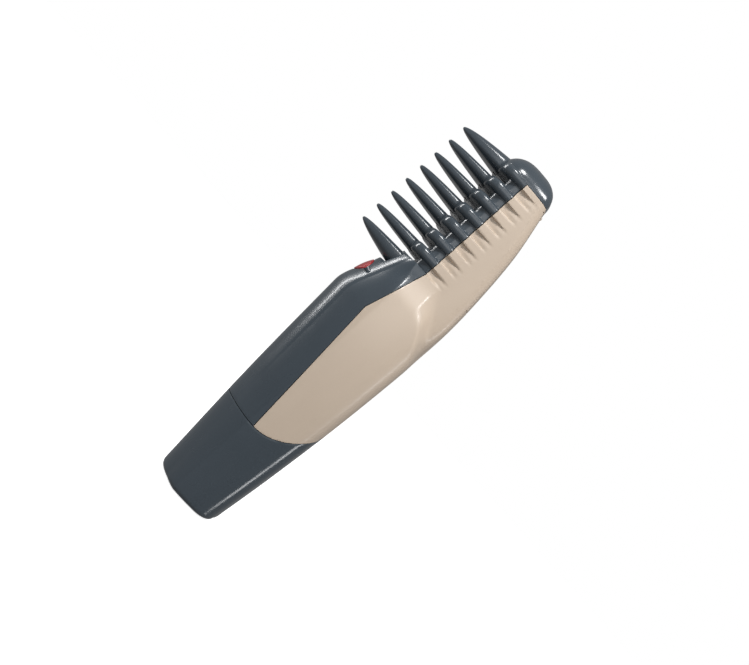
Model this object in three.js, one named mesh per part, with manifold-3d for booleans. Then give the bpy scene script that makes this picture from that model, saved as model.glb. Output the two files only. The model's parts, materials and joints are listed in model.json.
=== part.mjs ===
// Cordless comb trimmer: a two-shell handle with two AA cells and a motor, a sliding blade in a comb head.
// Millimetres, +Z up the handle, the comb teeth and the button towards -Y, the end face of the cap at Z = 0.
import * as THREE from 'three';
import { LoftGeometry } from 'three/addons/geometries/LoftGeometry.js';
import { mergeVertices } from 'three/addons/utils/BufferGeometryUtils.js';
import Module from 'manifold-3d';

const wasm = await Module();
wasm.setup();

// ---- driving dimensions ----
const gap = 0.3; // between neighbouring pieces
const wall = 2.0; // of the handle shells
const headWall = 2.9; // of the shells round the comb head

// outline of the body: depth to the front and back of the axis, half width, each against height
const baseFront = 15.9;
const baseBack = 15.6;
const baseHalfWidth = 17;
const baseRounding = 2.5;
const bendHeight = 99; // where the front turns towards the head
const bendFront = 24.3;
const bulgeHalfWidth = 21;
const bulgeHeight = bendHeight - 7;
const backDepthMost = 22.3;
const neckLength = 29.3;
const neckEnd = bendHeight + neckLength; // top of the neck, where the comb begins
const neckFront = 16.0;
const headHalfWidth = 14.7;
const headLength = 51.7;
const headEnd = neckEnd + headLength; // where the nose dome meets the back shell
const headBack = 12.2;
const noseLength = 10.4;
const crownHalf = 11.5; // half width of the front crown, at its edge line
const crownRise = 5.0;
const backSag = 1.6;
const backCorner = 9;
const headCorner = 4.5;

// parting lines
const capHeight = 40; // seam of the battery cap
const seamAtCap = -3.1; // depth of the shell seam at the cap, the bend and the head
const seamAtBend = -8.9;
const seamAtHead = -2.3;
const tongueCurve = 0.0283; // rise of the cap seam over the back

// comb
const toothCount = 8;
const firstTooth = neckEnd - 2.8; // middle of the tooth nearest the handle
const lastTooth = headEnd - 0.53; // middle of the tooth nearest the nose
const toothPitch = (lastTooth - firstTooth) / (toothCount - 1);
const toothTip = -35.6;
const toothRoot = -14;
const toothHalfThick = toothPitch * 0.35;
const endToothOuter = 5.2;
const toothHalfWidth = 7.5;
const slotFloor = -8.5;
const ribHalfThick = toothPitch * 0.285;
const combFront = 15.0;
const combCrownHalf = 8.5;
const recess = 1.5; // depth of the panels between the ribs
const floorThick = 2.0;

// cutting blades
const bladeThick = 0.8;
const fixedBladeX = -0.5;
const movingBladeX = 0.6;
const tineTip = -14.0;
const tineRootHalf = toothPitch * 0.298;
const tineTipHalf = toothPitch * 0.169;
const bladeBack = -3.2;
const stroke = 2.4;
const slitLow = 1.2; // half widths of the slit on either side of the axis
const slitHigh = 1.3;
const bladeScrewHeights = [firstTooth + 15, lastTooth - 9]; // along the blades' backs
const bladeScrewY = -4.8;

// drive
const motorHeight = bendHeight + 4;
const motorRadius = 10;
const motorHalfFlat = 7.6;
const motorFace = -1.5;
const motorLength = 18;
const shaftRadius = 1;
const camRadius = 3.6;
const camThick = 2.0;
const crankPinRadius = 1.25;
const carriageThick = 1.8;
const carriageHalfWidth = 6.5;

// power: two AA cells
const cellRadius = 7.25;
const cellLength = 49.2;
const nubLength = 1.3;
const nubRadius = 2.7;
const cellBottom = 7;
const cellOffset = 7.6;

// button and switch
const buttonHeight = bendHeight + neckLength * 0.49;
const buttonHalfWidth = 6;
const buttonHalfLength = neckLength * 0.15;
const buttonProud = 0.6;
const buttonTravel = 1.0;
const switchHalf = 3.1;

// hatch on the back of the head
const hatchLow = neckEnd + 2.5;
const hatchHigh = headEnd - 1.4;
const hatchHalfWidth = 12;
const hatchThick = 1.5;
const hatchPivotHeight = hatchHigh - 1.2;
const hatchPivotDepth = 1.3; // the hatch's top edge is rounded about the pivot
const knuckleRadius = 1.2;

// ---- solids ----
function toSolid(geometry) {
  const bare = new THREE.BufferGeometry();
  bare.setAttribute('position', geometry.getAttribute('position'));
  bare.setIndex(geometry.index);
  const merged = mergeVertices(bare, 1e-4);
  const vertProperties = new Float32Array(merged.getAttribute('position').array);
  const triVerts = new Uint32Array(merged.index.array);
  return new wasm.Manifold(new wasm.Mesh({ numProp: 3, vertProperties, triVerts }));
}

function toGeometry(solid) {
  const mesh = solid.getMesh();
  const geometry = new THREE.BufferGeometry();
  geometry.setAttribute('position', new THREE.BufferAttribute(new Float32Array(mesh.vertProperties), 3));
  geometry.setIndex(new THREE.BufferAttribute(new Uint32Array(mesh.triVerts), 1));
  geometry.computeVertexNormals();
  return geometry;
}

function unite(...solids) {
  return solids.reduce((whole, next) => whole.add(next));
}

function cut(solid, ...tools) {
  return tools.reduce((left, tool) => left.subtract(tool), solid);
}

// A box between two corners.
function box(low, high) {
  const geometry = new THREE.BoxGeometry(high[0] - low[0], high[1] - low[1], high[2] - low[2]);
  geometry.translate((high[0] + low[0]) / 2, (high[1] + low[1]) / 2, (high[2] + low[2]) / 2);
  return toSolid(geometry);
}

// A round bar along x, y or z, from one coordinate to another.
function bar(axis, radius, from, to, centre, sides = 20) {
  const geometry = new THREE.CylinderGeometry(radius, radius, to - from, sides);
  geometry.translate(0, (to + from) / 2, 0);
  if (axis === 'x') geometry.rotateZ(-Math.PI / 2);
  if (axis === 'z') geometry.rotateX(Math.PI / 2);
  geometry.translate(...centre);
  return toSolid(geometry);
}

// An outline in the plane across an axis, drawn out along it: [y, z] pairs for x, [x, z] for y, [x, y] for z.
function prism(axis, outline, from, to) {
  const shape = new THREE.Shape(outline.map(([u, v]) => new THREE.Vector2(u, v)));
  const geometry = new THREE.ExtrudeGeometry(shape, { depth: to - from, bevelEnabled: false });
  geometry.translate(0, 0, from);
  if (axis === 'x') {
    geometry.applyMatrix4(new THREE.Matrix4().set(0, 0, 1, 0, 1, 0, 0, 0, 0, 1, 0, 0, 0, 0, 0, 1));
  }
  if (axis === 'y') {
    geometry.rotateX(Math.PI / 2);
    geometry.scale(1, -1, 1);
    const index = [];
    const count = geometry.getAttribute('position').count;
    for (let i = 0; i < count; i += 3) index.push(i, i + 2, i + 1);
    geometry.setIndex(index);
  }
  return toSolid(geometry);
}

function range(count) {
  return Array.from({ length: count }, (_, i) => i);
}

// A smooth curve through [height, value] pairs, read at a height.
function along(points, z) {
  const last = points.length - 1;
  if (z <= points[0][0]) return points[0][1];
  if (z >= points[last][0]) return points[last][1];
  const i = points.findIndex(([height]) => height > z) - 1;
  const slope = (k) => {
    const a = points[Math.max(k - 1, 0)];
    const b = points[Math.min(k + 1, last)];
    return (b[1] - a[1]) / (b[0] - a[0]);
  };
  const span = points[i + 1][0] - points[i][0];
  const t = (z - points[i][0]) / span;
  const t2 = t * t;
  const t3 = t2 * t;
  return (
    (2 * t3 - 3 * t2 + 1) * points[i][1] +
    (t3 - 2 * t2 + t) * span * slope(i) +
    (3 * t2 - 2 * t3) * points[i + 1][1] +
    (t3 - t2) * span * slope(i + 1)
  );
}

// ---- outline of the body ----
const frontBend = bendHeight + 5; // where the crown turns down the neck
const neckSlope = (bendFront - neckFront) / (neckEnd - frontBend);
const frontPoints = [
  [0, baseFront],
  [bendHeight / 2, baseFront + (bendFront - baseFront) * 0.57],
  [bendHeight, bendFront - 0.12],
  [frontBend - 1.6, bendFront],
  [frontBend + 1.8, bendFront - neckSlope * 1.9],
  [frontBend + 5.5, bendFront - neckSlope * 5.5],
  [neckEnd, neckFront],
];
const backPoints = [
  [0, baseBack],
  [bendHeight * 0.27, baseBack + (backDepthMost - baseBack) * 0.4],
  [bendHeight * 0.6, baseBack + (backDepthMost - baseBack) * 0.76],
  [bendHeight + 2, backDepthMost],
  [neckEnd - 8, backDepthMost - 0.15],
  [neckEnd + 12, headBack + (backDepthMost - headBack) * 0.81],
  [neckEnd + 32, headBack + (backDepthMost - headBack) * 0.51],
  [headEnd, headBack],
];
const widthPoints = [
  [0, baseHalfWidth],
  [capHeight, baseHalfWidth + (bulgeHalfWidth - baseHalfWidth) * 0.5],
  [bulgeHeight - 22, bulgeHalfWidth - 0.4],
  [bulgeHeight, bulgeHalfWidth],
  [bulgeHeight + 18, bulgeHalfWidth - 1.2],
  [neckEnd, headHalfWidth + 2.3],
];

const frontDepth = (z) => (z < neckEnd ? along(frontPoints, z) : combFront);
const backDepth = (z) => along(backPoints, z);

// Half width at a height and depth. The wide handle steps down to the head along a slanting crease.
function halfWidth(z, y) {
  const creaseTop = 5;
  const creaseSlant = 1.55;
  const slanted = z + creaseSlant * Math.max(0, y - creaseTop);
  const step = THREE.MathUtils.smoothstep(slanted, neckEnd - 4, neckEnd + 1);
  return THREE.MathUtils.lerp(along(widthPoints, z), headHalfWidth, step);
}

// One ring of the body at a height, moved in by a wall.
function bodyRing(z, inset) {
  const comb = z >= neckEnd;
  const front = frontDepth(z) - inset;
  const back = backDepth(z) - inset;
  const crown = (comb ? combCrownHalf : Math.min(crownHalf, along(widthPoints, z) - 6)) - 0.6 * inset;
  const rise = comb ? 0.8 : crownRise;
  const cornerShare = THREE.MathUtils.smoothstep(z, bendHeight, neckEnd - 8);
  const corner = Math.max(THREE.MathUtils.lerp(backCorner, headCorner, cornerShare) - inset, 1.2);
  const sideFront = comb ? -8 : -6;
  const sideBack = back - backSag - corner;
  const half = [];
  const place = (x, y) => half.push([x, y]);
  for (const i of range(4)) {
    const t = i / 3;
    place(crown * t, -front + rise * t * t);
  }
  const edgeX = crown;
  const edgeY = -front + rise;
  const sideX = halfWidth(z, sideFront) - inset;
  for (const i of range(3)) {
    const t = (i + 1) / 3;
    const controlX = sideX - 1.2;
    const controlY = edgeY + (sideFront - edgeY) * 0.42;
    place(
      (1 - t) * (1 - t) * edgeX + 2 * t * (1 - t) * controlX + t * t * (sideX - 0.4),
      (1 - t) * (1 - t) * edgeY + 2 * t * (1 - t) * controlY + t * t * sideFront,
    );
  }
  for (const i of range(3)) {
    const t = (i + 1) / 3;
    const y = THREE.MathUtils.lerp(sideFront, sideBack, t);
    place(halfWidth(z, y) - inset - 0.4 * (2 * t - 1) ** 2, y);
  }
  for (const i of range(4)) {
    const angle = ((i + 1) / 4) * (Math.PI / 2);
    const y = sideBack + corner * Math.sin(angle);
    place(halfWidth(z, y) - inset - 0.4 - corner * (1 - Math.cos(angle)), y);
  }
  const [flatX] = half[half.length - 1];
  for (const i of range(3)) {
    const t = 1 - (i + 1) / 3;
    place(flatX * t, back - backSag * t * t);
  }
  const mirrored = half.slice(1, -1).map(([x, y]) => [-x, y]).reverse();
  return [...half, ...mirrored].map(([x, y]) => new THREE.Vector3(x, y, z));
}

// A ring drawn in towards a point, for the rounded ends.
function drawnIn(ring, scaleX, scaleY, centreY, z) {
  return ring.map((p) => new THREE.Vector3(p.x * scaleX, centreY + (p.y - centreY) * scaleY, z));
}

const lowerHeights = [0.2, 0.4, 0.6, 0.79].map((share) => bendHeight * share);
const handleHeights = [...lowerHeights, bulgeHeight, bendHeight, frontBend];
const neckHeights = range(8).map((i) => frontBend + 3 + ((neckEnd - 0.2 - frontBend - 3) * i) / 7);
const headHeights = [0.004, 0.07, 0.22, 0.48, 0.74, 1].map((share) => neckEnd + headLength * share);

function baseRings(inset, floor) {
  return range(4).map((i) => {
    const angle = (i / 3) * (Math.PI / 2);
    const radius = Math.max(baseRounding - inset, 0.8);
    const ring = bodyRing(floor + radius, inset);
    const inwards = radius * (1 - Math.sin(angle));
    const scale = (half) => (half - inwards) / half;
    return drawnIn(ring, scale(baseHalfWidth), scale(baseFront), 0, floor + radius * (1 - Math.cos(angle)));
  });
}

function bodyLoft(inset, floor, headInset) {
  const rings = [
    ...baseRings(inset, floor),
    ...[...handleHeights, ...neckHeights].map((z) => bodyRing(z, inset)),
    ...headHeights.map((z) => bodyRing(z, headInset)),
  ];
  return toSolid(new LoftGeometry(rings, { capStart: true, capEnd: true }));
}

const bodyOuter = bodyLoft(0, 0, 0);
const bodyInner = bodyLoft(wall, wall, headWall);

// Rounded nose that closes the head.
function noseLoft(inset) {
  const ring = bodyRing(headEnd, inset);
  const centreY = (headBack - combFront) / 2;
  const length = noseLength - inset;
  const rounded = (t, power) => (1 - t ** power) ** (1 / power);
  const rings = range(7).map((i) => {
    const t = Math.sin((i / 6) * 0.985 * (Math.PI / 2));
    return drawnIn(ring, rounded(t, 2.05), rounded(t, 2.4), centreY, headEnd + gap / 2 + length * t);
  });
  return toSolid(new LoftGeometry(rings, { capStart: true, capEnd: true }));
}

// ---- parting lines, as outlines in the [y, z] plane ----
const far = 60;
const capSeam = (y) => capHeight + (y > seamAtCap ? tongueCurve * (y - seamAtCap) ** 2 : 0);
const seamDepths = [seamAtCap, ...range(9).map((i) => seamAtCap + ((far / 2 - seamAtCap) * (i + 1)) / 9)];

function belowCapSeam(shift) {
  const curve = seamDepths.map((y) => [y, capSeam(y) + shift]).reverse();
  return [[-far, -5], [far / 2, -5], ...curve, [-far, capHeight + shift]];
}

function frontOfSeam(shift, top) {
  return [
    [-far, 0],
    [seamAtCap + shift, 0],
    [seamAtCap + shift, capHeight],
    [seamAtBend + shift, bendHeight + 3],
    [seamAtHead + shift, neckEnd],
    [seamAtHead + shift, top],
    [-far, top],
  ];
}

const capZone = prism('x', belowCapSeam(-gap / 2), -far, far);
const aboveCap = prism('x', belowCapSeam(gap / 2), -far, far);
const belowComb = box([-far, -far, -5], [far, far, neckEnd - gap / 2]);
const frontZone = prism('x', frontOfSeam(-gap / 2, 250), -far, far).intersect(belowComb);
const notBackZone = prism('x', frontOfSeam(gap / 2, 250), -far, far);

const shell = bodyOuter.subtract(bodyInner);

// ---- button axis: out of the neck's crown, leaning with its slope ----
const crownSlope = (frontDepth(buttonHeight - 4) - frontDepth(buttonHeight + 4)) / 8;
const buttonTilt = Math.PI / 2 - Math.atan(crownSlope);
const buttonPlace = new THREE.Matrix4()
  .makeTranslation(0, -frontDepth(buttonHeight), buttonHeight)
  .multiply(new THREE.Matrix4().makeRotationX(buttonTilt));

// Turns a solid modelled with its axis on +Z and the crown's surface at 0 to the button's place.
function onButtonAxis(solid) {
  const geometry = toGeometry(solid);
  geometry.applyMatrix4(buttonPlace);
  return toSolid(geometry);
}

function ovalBar(halfX, halfY, from, to) {
  const geometry = new THREE.CylinderGeometry(1, 1, to - from, 28);
  geometry.rotateX(Math.PI / 2);
  geometry.scale(halfX, halfY, 1);
  geometry.translate(0, 0, (to + from) / 2);
  return toSolid(geometry);
}

// ---- shells ----
const shellScrewHeights = [capHeight + 25, motorHeight - 17]; // between the cells and the motor
const screwSplit = seamAtBend + 1; // where the two screw bosses meet
const combScrewX = 8;
const combScrewHeight = neckEnd + 10.7;
const screwRadius = 1.2;
const screwHeadRadius = 2.2;
const footHalfWidth = 6; // of the comb's foot, behind the tooth on the neck

function shellBosses(from, to, radius) {
  return unite(...shellScrewHeights.map((z) => bar('y', radius, from, to, [0, 0, z], 16)));
}

function makeFrontShell() {
  const opening = 0.4;
  let body = shell.intersect(frontZone).subtract(aboveCap);
  const endWall = bodyOuter
    .intersect(box([-far, -far, neckEnd - 2.1], [far, slotFloor + 2, neckEnd - gap / 2]))
    .intersect(frontZone);
  const bosses = shellBosses(-far, screwSplit - gap / 2, 3).intersect(bodyOuter);
  const posts = onButtonAxis(
    unite(bar('z', 1.2, -9.4, -1, [-8.6, 0, 0], 12), bar('z', 1.2, -9.4, -1, [8.6, 0, 0], 12)),
  ).intersect(bodyOuter);
  body = unite(body, endWall, bosses, posts);
  const notch = box(
    [-toothHalfWidth - opening, -far, firstTooth - endToothOuter - opening],
    [toothHalfWidth + opening, toothRoot + gap, neckEnd + 1],
  );
  const footReach = footHalfWidth + gap;
  const footWay = box([-footReach, toothRoot - 1, neckEnd - 9], [footReach, 0, neckEnd + 1]);
  const pilots = shellBosses(-frontDepth(capHeight) + 3, screwSplit + 1, screwRadius + gap);
  const buttonHole = onButtonAxis(ovalBar(buttonHalfWidth + gap, buttonHalfLength + gap, -8, 8));
  return cut(body, notch, footWay, pilots, buttonHole);
}

// The layer of the back between two depths under its surface.
function backLayer(top, bottom) {
  return bodyOuter.translate([0, -top, 0]).subtract(bodyOuter.translate([0, -bottom, 0]));
}

function hatchPivot() {
  return [0, backDepth(hatchPivotHeight) - hatchPivotDepth, hatchPivotHeight];
}

const seatDepth = hatchThick + 0.4; // from the back's surface to the deck under the hatch
const hatchWindow = [hatchLow + 15, hatchHigh - 7]; // through the deck
const knuckleWayRadius = knuckleRadius + 0.4;
const earNear = 3.35;
const earFar = 5.8;

// A bar across the body on the hatch's pivot.
function onPivot(radius, from, to, sides = 16) {
  return bar('x', radius, from, to, hatchPivot(), sides);
}

function combScrewBars(radius, from, to, sides) {
  return unite(
    ...[-1, 1].map((side) => bar('y', radius, from, to, [side * combScrewX, 0, combScrewHeight], sides)),
  );
}

// The two ears that hold the hatch's pin.
function hatchEars() {
  const [, pivotY, pivotZ] = hatchPivot();
  return unite(
    ...[-1, 1].map((side) => {
      const from = Math.min(side * earNear, side * earFar);
      const to = Math.max(side * earNear, side * earFar);
      const foot = box([from, pivotY - 2, pivotZ - 0.9], [to, pivotY, pivotZ + 0.9]);
      return onPivot(knuckleRadius, from, to).add(foot);
    }),
  );
}

function makeBackShell() {
  let body = shell.subtract(notBackZone).subtract(aboveCap);
  const seatHalf = hatchHalfWidth + gap;
  const lifted = bodyOuter.translate([0, -seatDepth, 0]);
  const deck = backLayer(seatDepth, seatDepth + 1.5)
    .intersect(bodyOuter)
    .intersect(box([-headHalfWidth, 4, neckEnd], [headHalfWidth, far, headEnd - 0.3]));
  const recessWay = box([-seatHalf, 4, hatchLow - gap], [seatHalf, far, hatchHigh + gap]);
  body = body.subtract(recessWay.subtract(lifted)).add(deck);
  // a trough across the deck, which the hatch's top edge turns in
  const trough = onPivot(knuckleWayRadius + 0.9, -seatHalf, seatHalf).intersect(lifted);
  body = body.add(trough).subtract(onPivot(knuckleWayRadius, -seatHalf, seatHalf));
  const bosses = shellBosses(screwSplit + gap / 2, far, 3.4).intersect(bodyOuter);
  const back = backDepth(combScrewHeight);
  const combBosses = combScrewBars(2.6, seamAtHead + 0.6, back - seatDepth - 1, 14).intersect(lifted);
  body = unite(body, hatchEars().intersect(bodyOuter), bosses, combBosses);
  const screwWays = shellBosses(-far, far, screwRadius + gap);
  const headWays = unite(
    ...shellScrewHeights.map((z) => bar('y', screwHeadRadius + gap, backDepth(z) - 4, far, [0, 0, z], 16)),
  );
  const combShankWays = combScrewBars(screwRadius + gap, -far, far, 12);
  const combHeadWays = combScrewBars(screwHeadRadius + gap, back - 5.2, far, 14);
  const window = box([-8.5, 0, hatchWindow[0]], [8.5, far, hatchWindow[1]]);
  const knuckleWay = onPivot(knuckleWayRadius, -3.3, 3.3);
  const pinWay = onPivot(0.8, -7, 7, 12);
  return cut(body, window, knuckleWay, screwWays, headWays, combShankWays, combHeadWays, pinWay, flutes());
}

// Grooves between the ribs that fade out down the side of the head.
function flutes() {
  const end = 7.5;
  const width = toothPitch / 2 - ribHalfThick;
  return unite(
    ...range(toothCount - 1).flatMap((i) => {
      const centre = firstTooth + toothPitch * (i + 0.5);
      const outline = [
        [headHalfWidth - recess, seamAtHead - 2],
        [headHalfWidth + 3, seamAtHead - 2],
        [headHalfWidth + 3, end],
        [headHalfWidth, end],
      ];
      const wedge = prism('z', outline, centre - width, centre + width);
      return [wedge, wedge.mirror([1, 0, 0])];
    }),
  );
}

function makeBatteryCap() {
  return bodyOuter.subtract(bodyInner).intersect(capZone);
}

// ---- comb head ----
// A pointed tooth, drawn out from its root to its tip, with its own thickness on either side of its centre.
function tooth(centreZ, lowThick, highThick) {
  const reach = toothRoot - toothTip;
  const stations = [0, 0.22, 0.44, 0.64, 0.81, 0.92, 0.975, 0.996].map((t) => toothRoot - reach * t);
  const sides = 10;
  const rings = stations.map((y) => {
    const left = 1 - (toothRoot - y) / reach;
    const halfX = toothHalfWidth * left ** 0.65;
    const low = lowThick * left ** (lowThick > toothHalfThick ? 0.6 : 0.36);
    const high = highThick * left ** (highThick > toothHalfThick ? 0.6 : 0.36);
    return range(sides).map((i) => {
      const angle = (i / sides) * 2 * Math.PI;
      const c = Math.cos(angle);
      const s = Math.sin(angle);
      const x = halfX * Math.sign(c) * Math.abs(c) ** 0.8;
      const z = (s < 0 ? low : high) * Math.sign(s) * Math.abs(s) ** 0.6;
      return new THREE.Vector3(x, y, centreZ + z);
    });
  });
  return toSolid(new LoftGeometry(rings, { capStart: true, capEnd: true }));
}

// A rib under a tooth: thick at the middle and round at its outer ends.
function rib(centreZ) {
  const end = headHalfWidth - ribHalfThick;
  const quarter = [[combCrownHalf - 1, toothHalfThick]];
  for (const i of range(4)) {
    const angle = Math.PI / 2 - (i / 3) * (Math.PI / 2);
    quarter.push([end + ribHalfThick * Math.cos(angle), ribHalfThick * Math.sin(angle)]);
  }
  const low = quarter.slice(0, -1).map(([x, z]) => [x, -z]).reverse();
  const right = [...quarter, ...low];
  const left = right.map(([x, z]) => [-x, -z]);
  const outline = [...right, ...left].reverse().map(([x, z]) => [x, centreZ + z]);
  return prism('y', outline, -far, seamAtHead - gap / 2).intersect(bodyOuter);
}

function makeCombHead() {
  const low = neckEnd + gap / 2;
  const top = seamAtHead - gap / 2;
  const combZone = box([-far, -far, low], [far, top, headEnd + 1]);
  const recessed = bodyLoft(wall, wall, recess)
    .intersect(combZone)
    .intersect(box([-far, slotFloor, 0], [far, far, 250]));
  const ribs = range(toothCount - 1).map((i) => rib(firstTooth + toothPitch * (i + 1)).intersect(combZone));
  const teeth = range(toothCount).map((i) => {
    const lowThick = i === 0 ? endToothOuter : toothHalfThick;
    const highThick = i === toothCount - 1 ? endToothOuter : toothHalfThick;
    return tooth(firstTooth + toothPitch * i, lowThick, highThick);
  });
  const footBack = slotFloor + floorThick;
  const foot = box([-footHalfWidth, toothRoot, firstTooth - 4], [footHalfWidth, footBack, low + 0.05]);
  const footFloor = box([-footHalfWidth, slotFloor, firstTooth - 2], [footHalfWidth, footBack, low + 4]);
  const nose = noseLoft(0);
  let body = unite(recessed, ...ribs, ...teeth, foot, footFloor, nose);
  const cavity = box(
    [-headHalfWidth + headWall, slotFloor + floorThick, low + 2],
    [headHalfWidth - headWall, far, headEnd - 1.5],
  );
  const noseCavity = box([-9.5, -6, headEnd - 2], [9.5, 7, headEnd + 4.2]);
  body = cut(body, cavity, noseCavity);
  const guideBack = bladeBack + 0.3;
  const guides = unite(
    box([-3.4, slotFloor + 1, low + 2.5], [-slitLow, guideBack, headEnd - 2.8]),
    box([slitHigh, slotFloor + 1, low + 2.5], [3.5, guideBack, headEnd - 2.8]),
  );
  body = unite(body, guides, combScrewBars(2.6, slotFloor + 1, seamAtHead + gap - 0.1, 14));
  const slit = box([-slitLow, tineTip - gap, firstTooth - 2.7], [slitHigh, 0, lastTooth + 2.7]);
  const tailWay = box([-slitLow, slotFloor - 0.1, neckEnd - 20], [slitHigh, 0, firstTooth]);
  const blindHoles = combScrewBars(screwRadius + gap, slotFloor + 1.2, 10, 12);
  const bladeScrewWays = unite(
    ...bladeScrewHeights.map((z) => bar('x', 0.8 + gap, -6, 6, [0, bladeScrewY, z], 12)),
  );
  return cut(body, slit, tailWay, blindHoles, bladeScrewWays);
}

// ---- blades ----
function bladeOutline() {
  const points = [
    [bladeBack, lastTooth + 1.2],
    [bladeBack, firstTooth - 1.2],
    [slotFloor + gap, firstTooth - 1.2],
  ];
  for (const i of range(toothCount)) {
    const centre = firstTooth + toothPitch * i;
    const lowRoot = i === 0 ? 1.2 : tineRootHalf;
    const highRoot = i === toothCount - 1 ? 1.2 : tineRootHalf;
    if (i > 0) points.push([slotFloor + gap, centre - lowRoot]);
    points.push([tineTip, centre - Math.min(tineTipHalf, lowRoot)]);
    points.push([tineTip, centre + Math.min(tineTipHalf, highRoot)]);
    if (i < toothCount - 1) points.push([slotFloor + gap, centre + highRoot]);
  }
  points.push([slotFloor + gap, lastTooth + 1.2]);
  return points;
}

function makeFixedBlade() {
  const blank = prism('x', bladeOutline(), fixedBladeX - bladeThick / 2, fixedBladeX + bladeThick / 2);
  return cut(blank, ...bladeScrewHeights.map((z) => bar('x', 0.8 + gap, -3, 3, [0, bladeScrewY, z], 12)));
}

const carriageArmTop = neckEnd - 10;
const tailFront = slotFloor + 0.5;
const tailBack = slotFloor + 1.7;

function makeMovingBlade() {
  const low = movingBladeX - bladeThick / 2;
  const high = movingBladeX + bladeThick / 2;
  const blank = prism('x', bladeOutline(), low, high);
  const tail = box([low, tailFront, carriageArmTop - 6], [high, tailBack, firstTooth]);
  const slots = bladeScrewHeights.map((z) => {
    const acrossSlot = 0.8 + gap;
    const alongSlot = acrossSlot + stroke / 2;
    return box([-3, bladeScrewY - acrossSlot, z - alongSlot], [3, bladeScrewY + acrossSlot, z + alongSlot]);
  });
  return cut(blank.add(tail), ...slots).translate([0, 0, -stroke / 2]);
}

function bladeScrew(z) {
  const shank = bar('x', 0.8, -3.2, 4, [0, bladeScrewY, z], 12);
  const head = bar('x', 1.4, 3.8, 4.9, [0, bladeScrewY, z], 16);
  const slot = box([4.5, bladeScrewY - 0.25, z - 2], [6, bladeScrewY + 0.25, z + 2]);
  return shank.add(head).subtract(slot);
}

// ---- drive ----
const camBack = motorFace - 2.7;
const camFront = camBack - camThick;
const carriageBack = camFront - gap;
const carriageFront = carriageBack - carriageThick;
const crankThrow = stroke / 2;

function makeMotorCan() {
  const can = bar('y', motorRadius, motorFace, motorFace + motorLength, [0, 0, motorHeight], 28).intersect(
    box([-far, -far, motorHeight - motorHalfFlat], [far, far, motorHeight + motorHalfFlat]),
  );
  const boss = bar('y', 3, motorFace - 1.6, motorFace + 1, [0, 0, motorHeight], 16);
  const bore = bar('y', shaftRadius + gap, -far, motorFace + motorLength + 1, [0, 0, motorHeight], 12);
  const screwHoles = [-1, 1].map((side) =>
    bar('y', 0.8 + gap, -far, motorFace + 3, [side * 6.5, 0, motorHeight], 12),
  );
  return cut(can.add(boss), bore, ...screwHoles);
}

function makeMotorEndCap() {
  const face = motorFace + motorLength + gap;
  const plate = bar('y', motorRadius - 1.4, face, face + 1.9, [0, 0, motorHeight], 28).intersect(
    box([-far, -far, motorHeight - motorHalfFlat], [far, far, motorHeight + motorHalfFlat]),
  );
  const bush = bar('y', 2.4, face, face + 2.1, [0, 0, motorHeight], 14);
  return plate.add(bush);
}

function makeMotorShaft() {
  return bar('y', shaftRadius, camFront + 0.8, motorFace + motorLength - 0.5, [0, 0, motorHeight], 12);
}

function makeEccentricCam() {
  const disc = bar('y', camRadius, camFront, camBack, [0, 0, motorHeight], 24);
  const pinAt = [0, 0, motorHeight - crankThrow];
  const pin = bar('y', crankPinRadius, carriageFront + 0.3, camFront + 0.5, pinAt, 16);
  const bore = bar('y', shaftRadius + gap, camFront + 0.5, camBack + 1, [0, 0, motorHeight], 12);
  return disc.add(pin).subtract(bore);
}

function makeMotorBracket() {
  const front = motorFace - gap;
  const outline = [
    [-13.4, front - 1.2],
    [13.4, front - 1.2],
    [13.4, front + 11],
    [12.4, front + 11],
    [12.4, front],
    [-12.4, front],
    [-12.4, front + 11],
    [-13.4, front + 11],
  ];
  const bracket = prism('z', outline, motorHeight - 6.5, motorHeight + 6.5);
  const hole = bar('y', 3 + gap, -far, 0, [0, 0, motorHeight], 16);
  const screwHoles = [-1, 1].map((side) => bar('y', 0.8 + gap, -far, 0, [side * 6.5, 0, motorHeight], 12));
  return cut(bracket, hole, ...screwHoles);
}

function motorScrew(side) {
  const top = motorFace - gap - 1.2 - gap;
  const at = [side * 6.5, 0, motorHeight];
  return bar('y', 0.8, top - 0.5, motorFace + 2.6, at, 12).add(bar('y', 1.6, top - 1, top, at, 14));
}

function makeBladeCarriage() {
  const rest = motorHeight - crankThrow;
  const clearHalf = stroke + crankPinRadius + gap;
  const plate = box(
    [-carriageHalfWidth, carriageFront, rest - clearHalf - 2],
    [carriageHalfWidth, carriageBack, rest + clearHalf + 2.6],
  );
  const slotHalf = crankThrow + crankPinRadius + gap;
  const slot = box([-slotHalf, -far, rest - clearHalf], [slotHalf, 0, rest + clearHalf]);
  const low = movingBladeX - bladeThick / 2;
  const high = movingBladeX + bladeThick / 2;
  const armTop = carriageArmTop - stroke / 2;
  const arm = box([low - 1.8, carriageFront, rest + clearHalf], [high + 1.8, carriageBack, armTop]);
  const slit = box([low - gap, -far, armTop - 6.3], [high + gap, 0, armTop + far]);
  return cut(plate.add(arm), slot, slit);
}

// ---- power ----
function makeCell(side, nubUp) {
  const flat = 4.6;
  const profile = [
    [0, 0],
    [flat, 0],
    [flat + 0.2, 0.3],
    [cellRadius - 0.5, 0.3],
    [cellRadius, 0.8],
    [cellRadius, cellLength - 0.8],
    [cellRadius - 0.6, cellLength],
    [nubRadius, cellLength],
    [nubRadius, cellLength + nubLength - 0.3],
    [nubRadius - 0.3, cellLength + nubLength],
    [0, cellLength + nubLength],
  ].map(([r, h]) => new THREE.Vector2(r, h));
  const geometry = new THREE.LatheGeometry(profile, 20);
  geometry.rotateX(nubUp ? Math.PI / 2 : -Math.PI / 2);
  const bottom = nubUp ? cellBottom : cellBottom + cellLength + nubLength;
  geometry.translate(side * cellOffset, 0, bottom);
  return toSolid(geometry);
}

const trayTop = cellBottom + cellLength + nubLength + 1.4;
const trayLow = 20;

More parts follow.
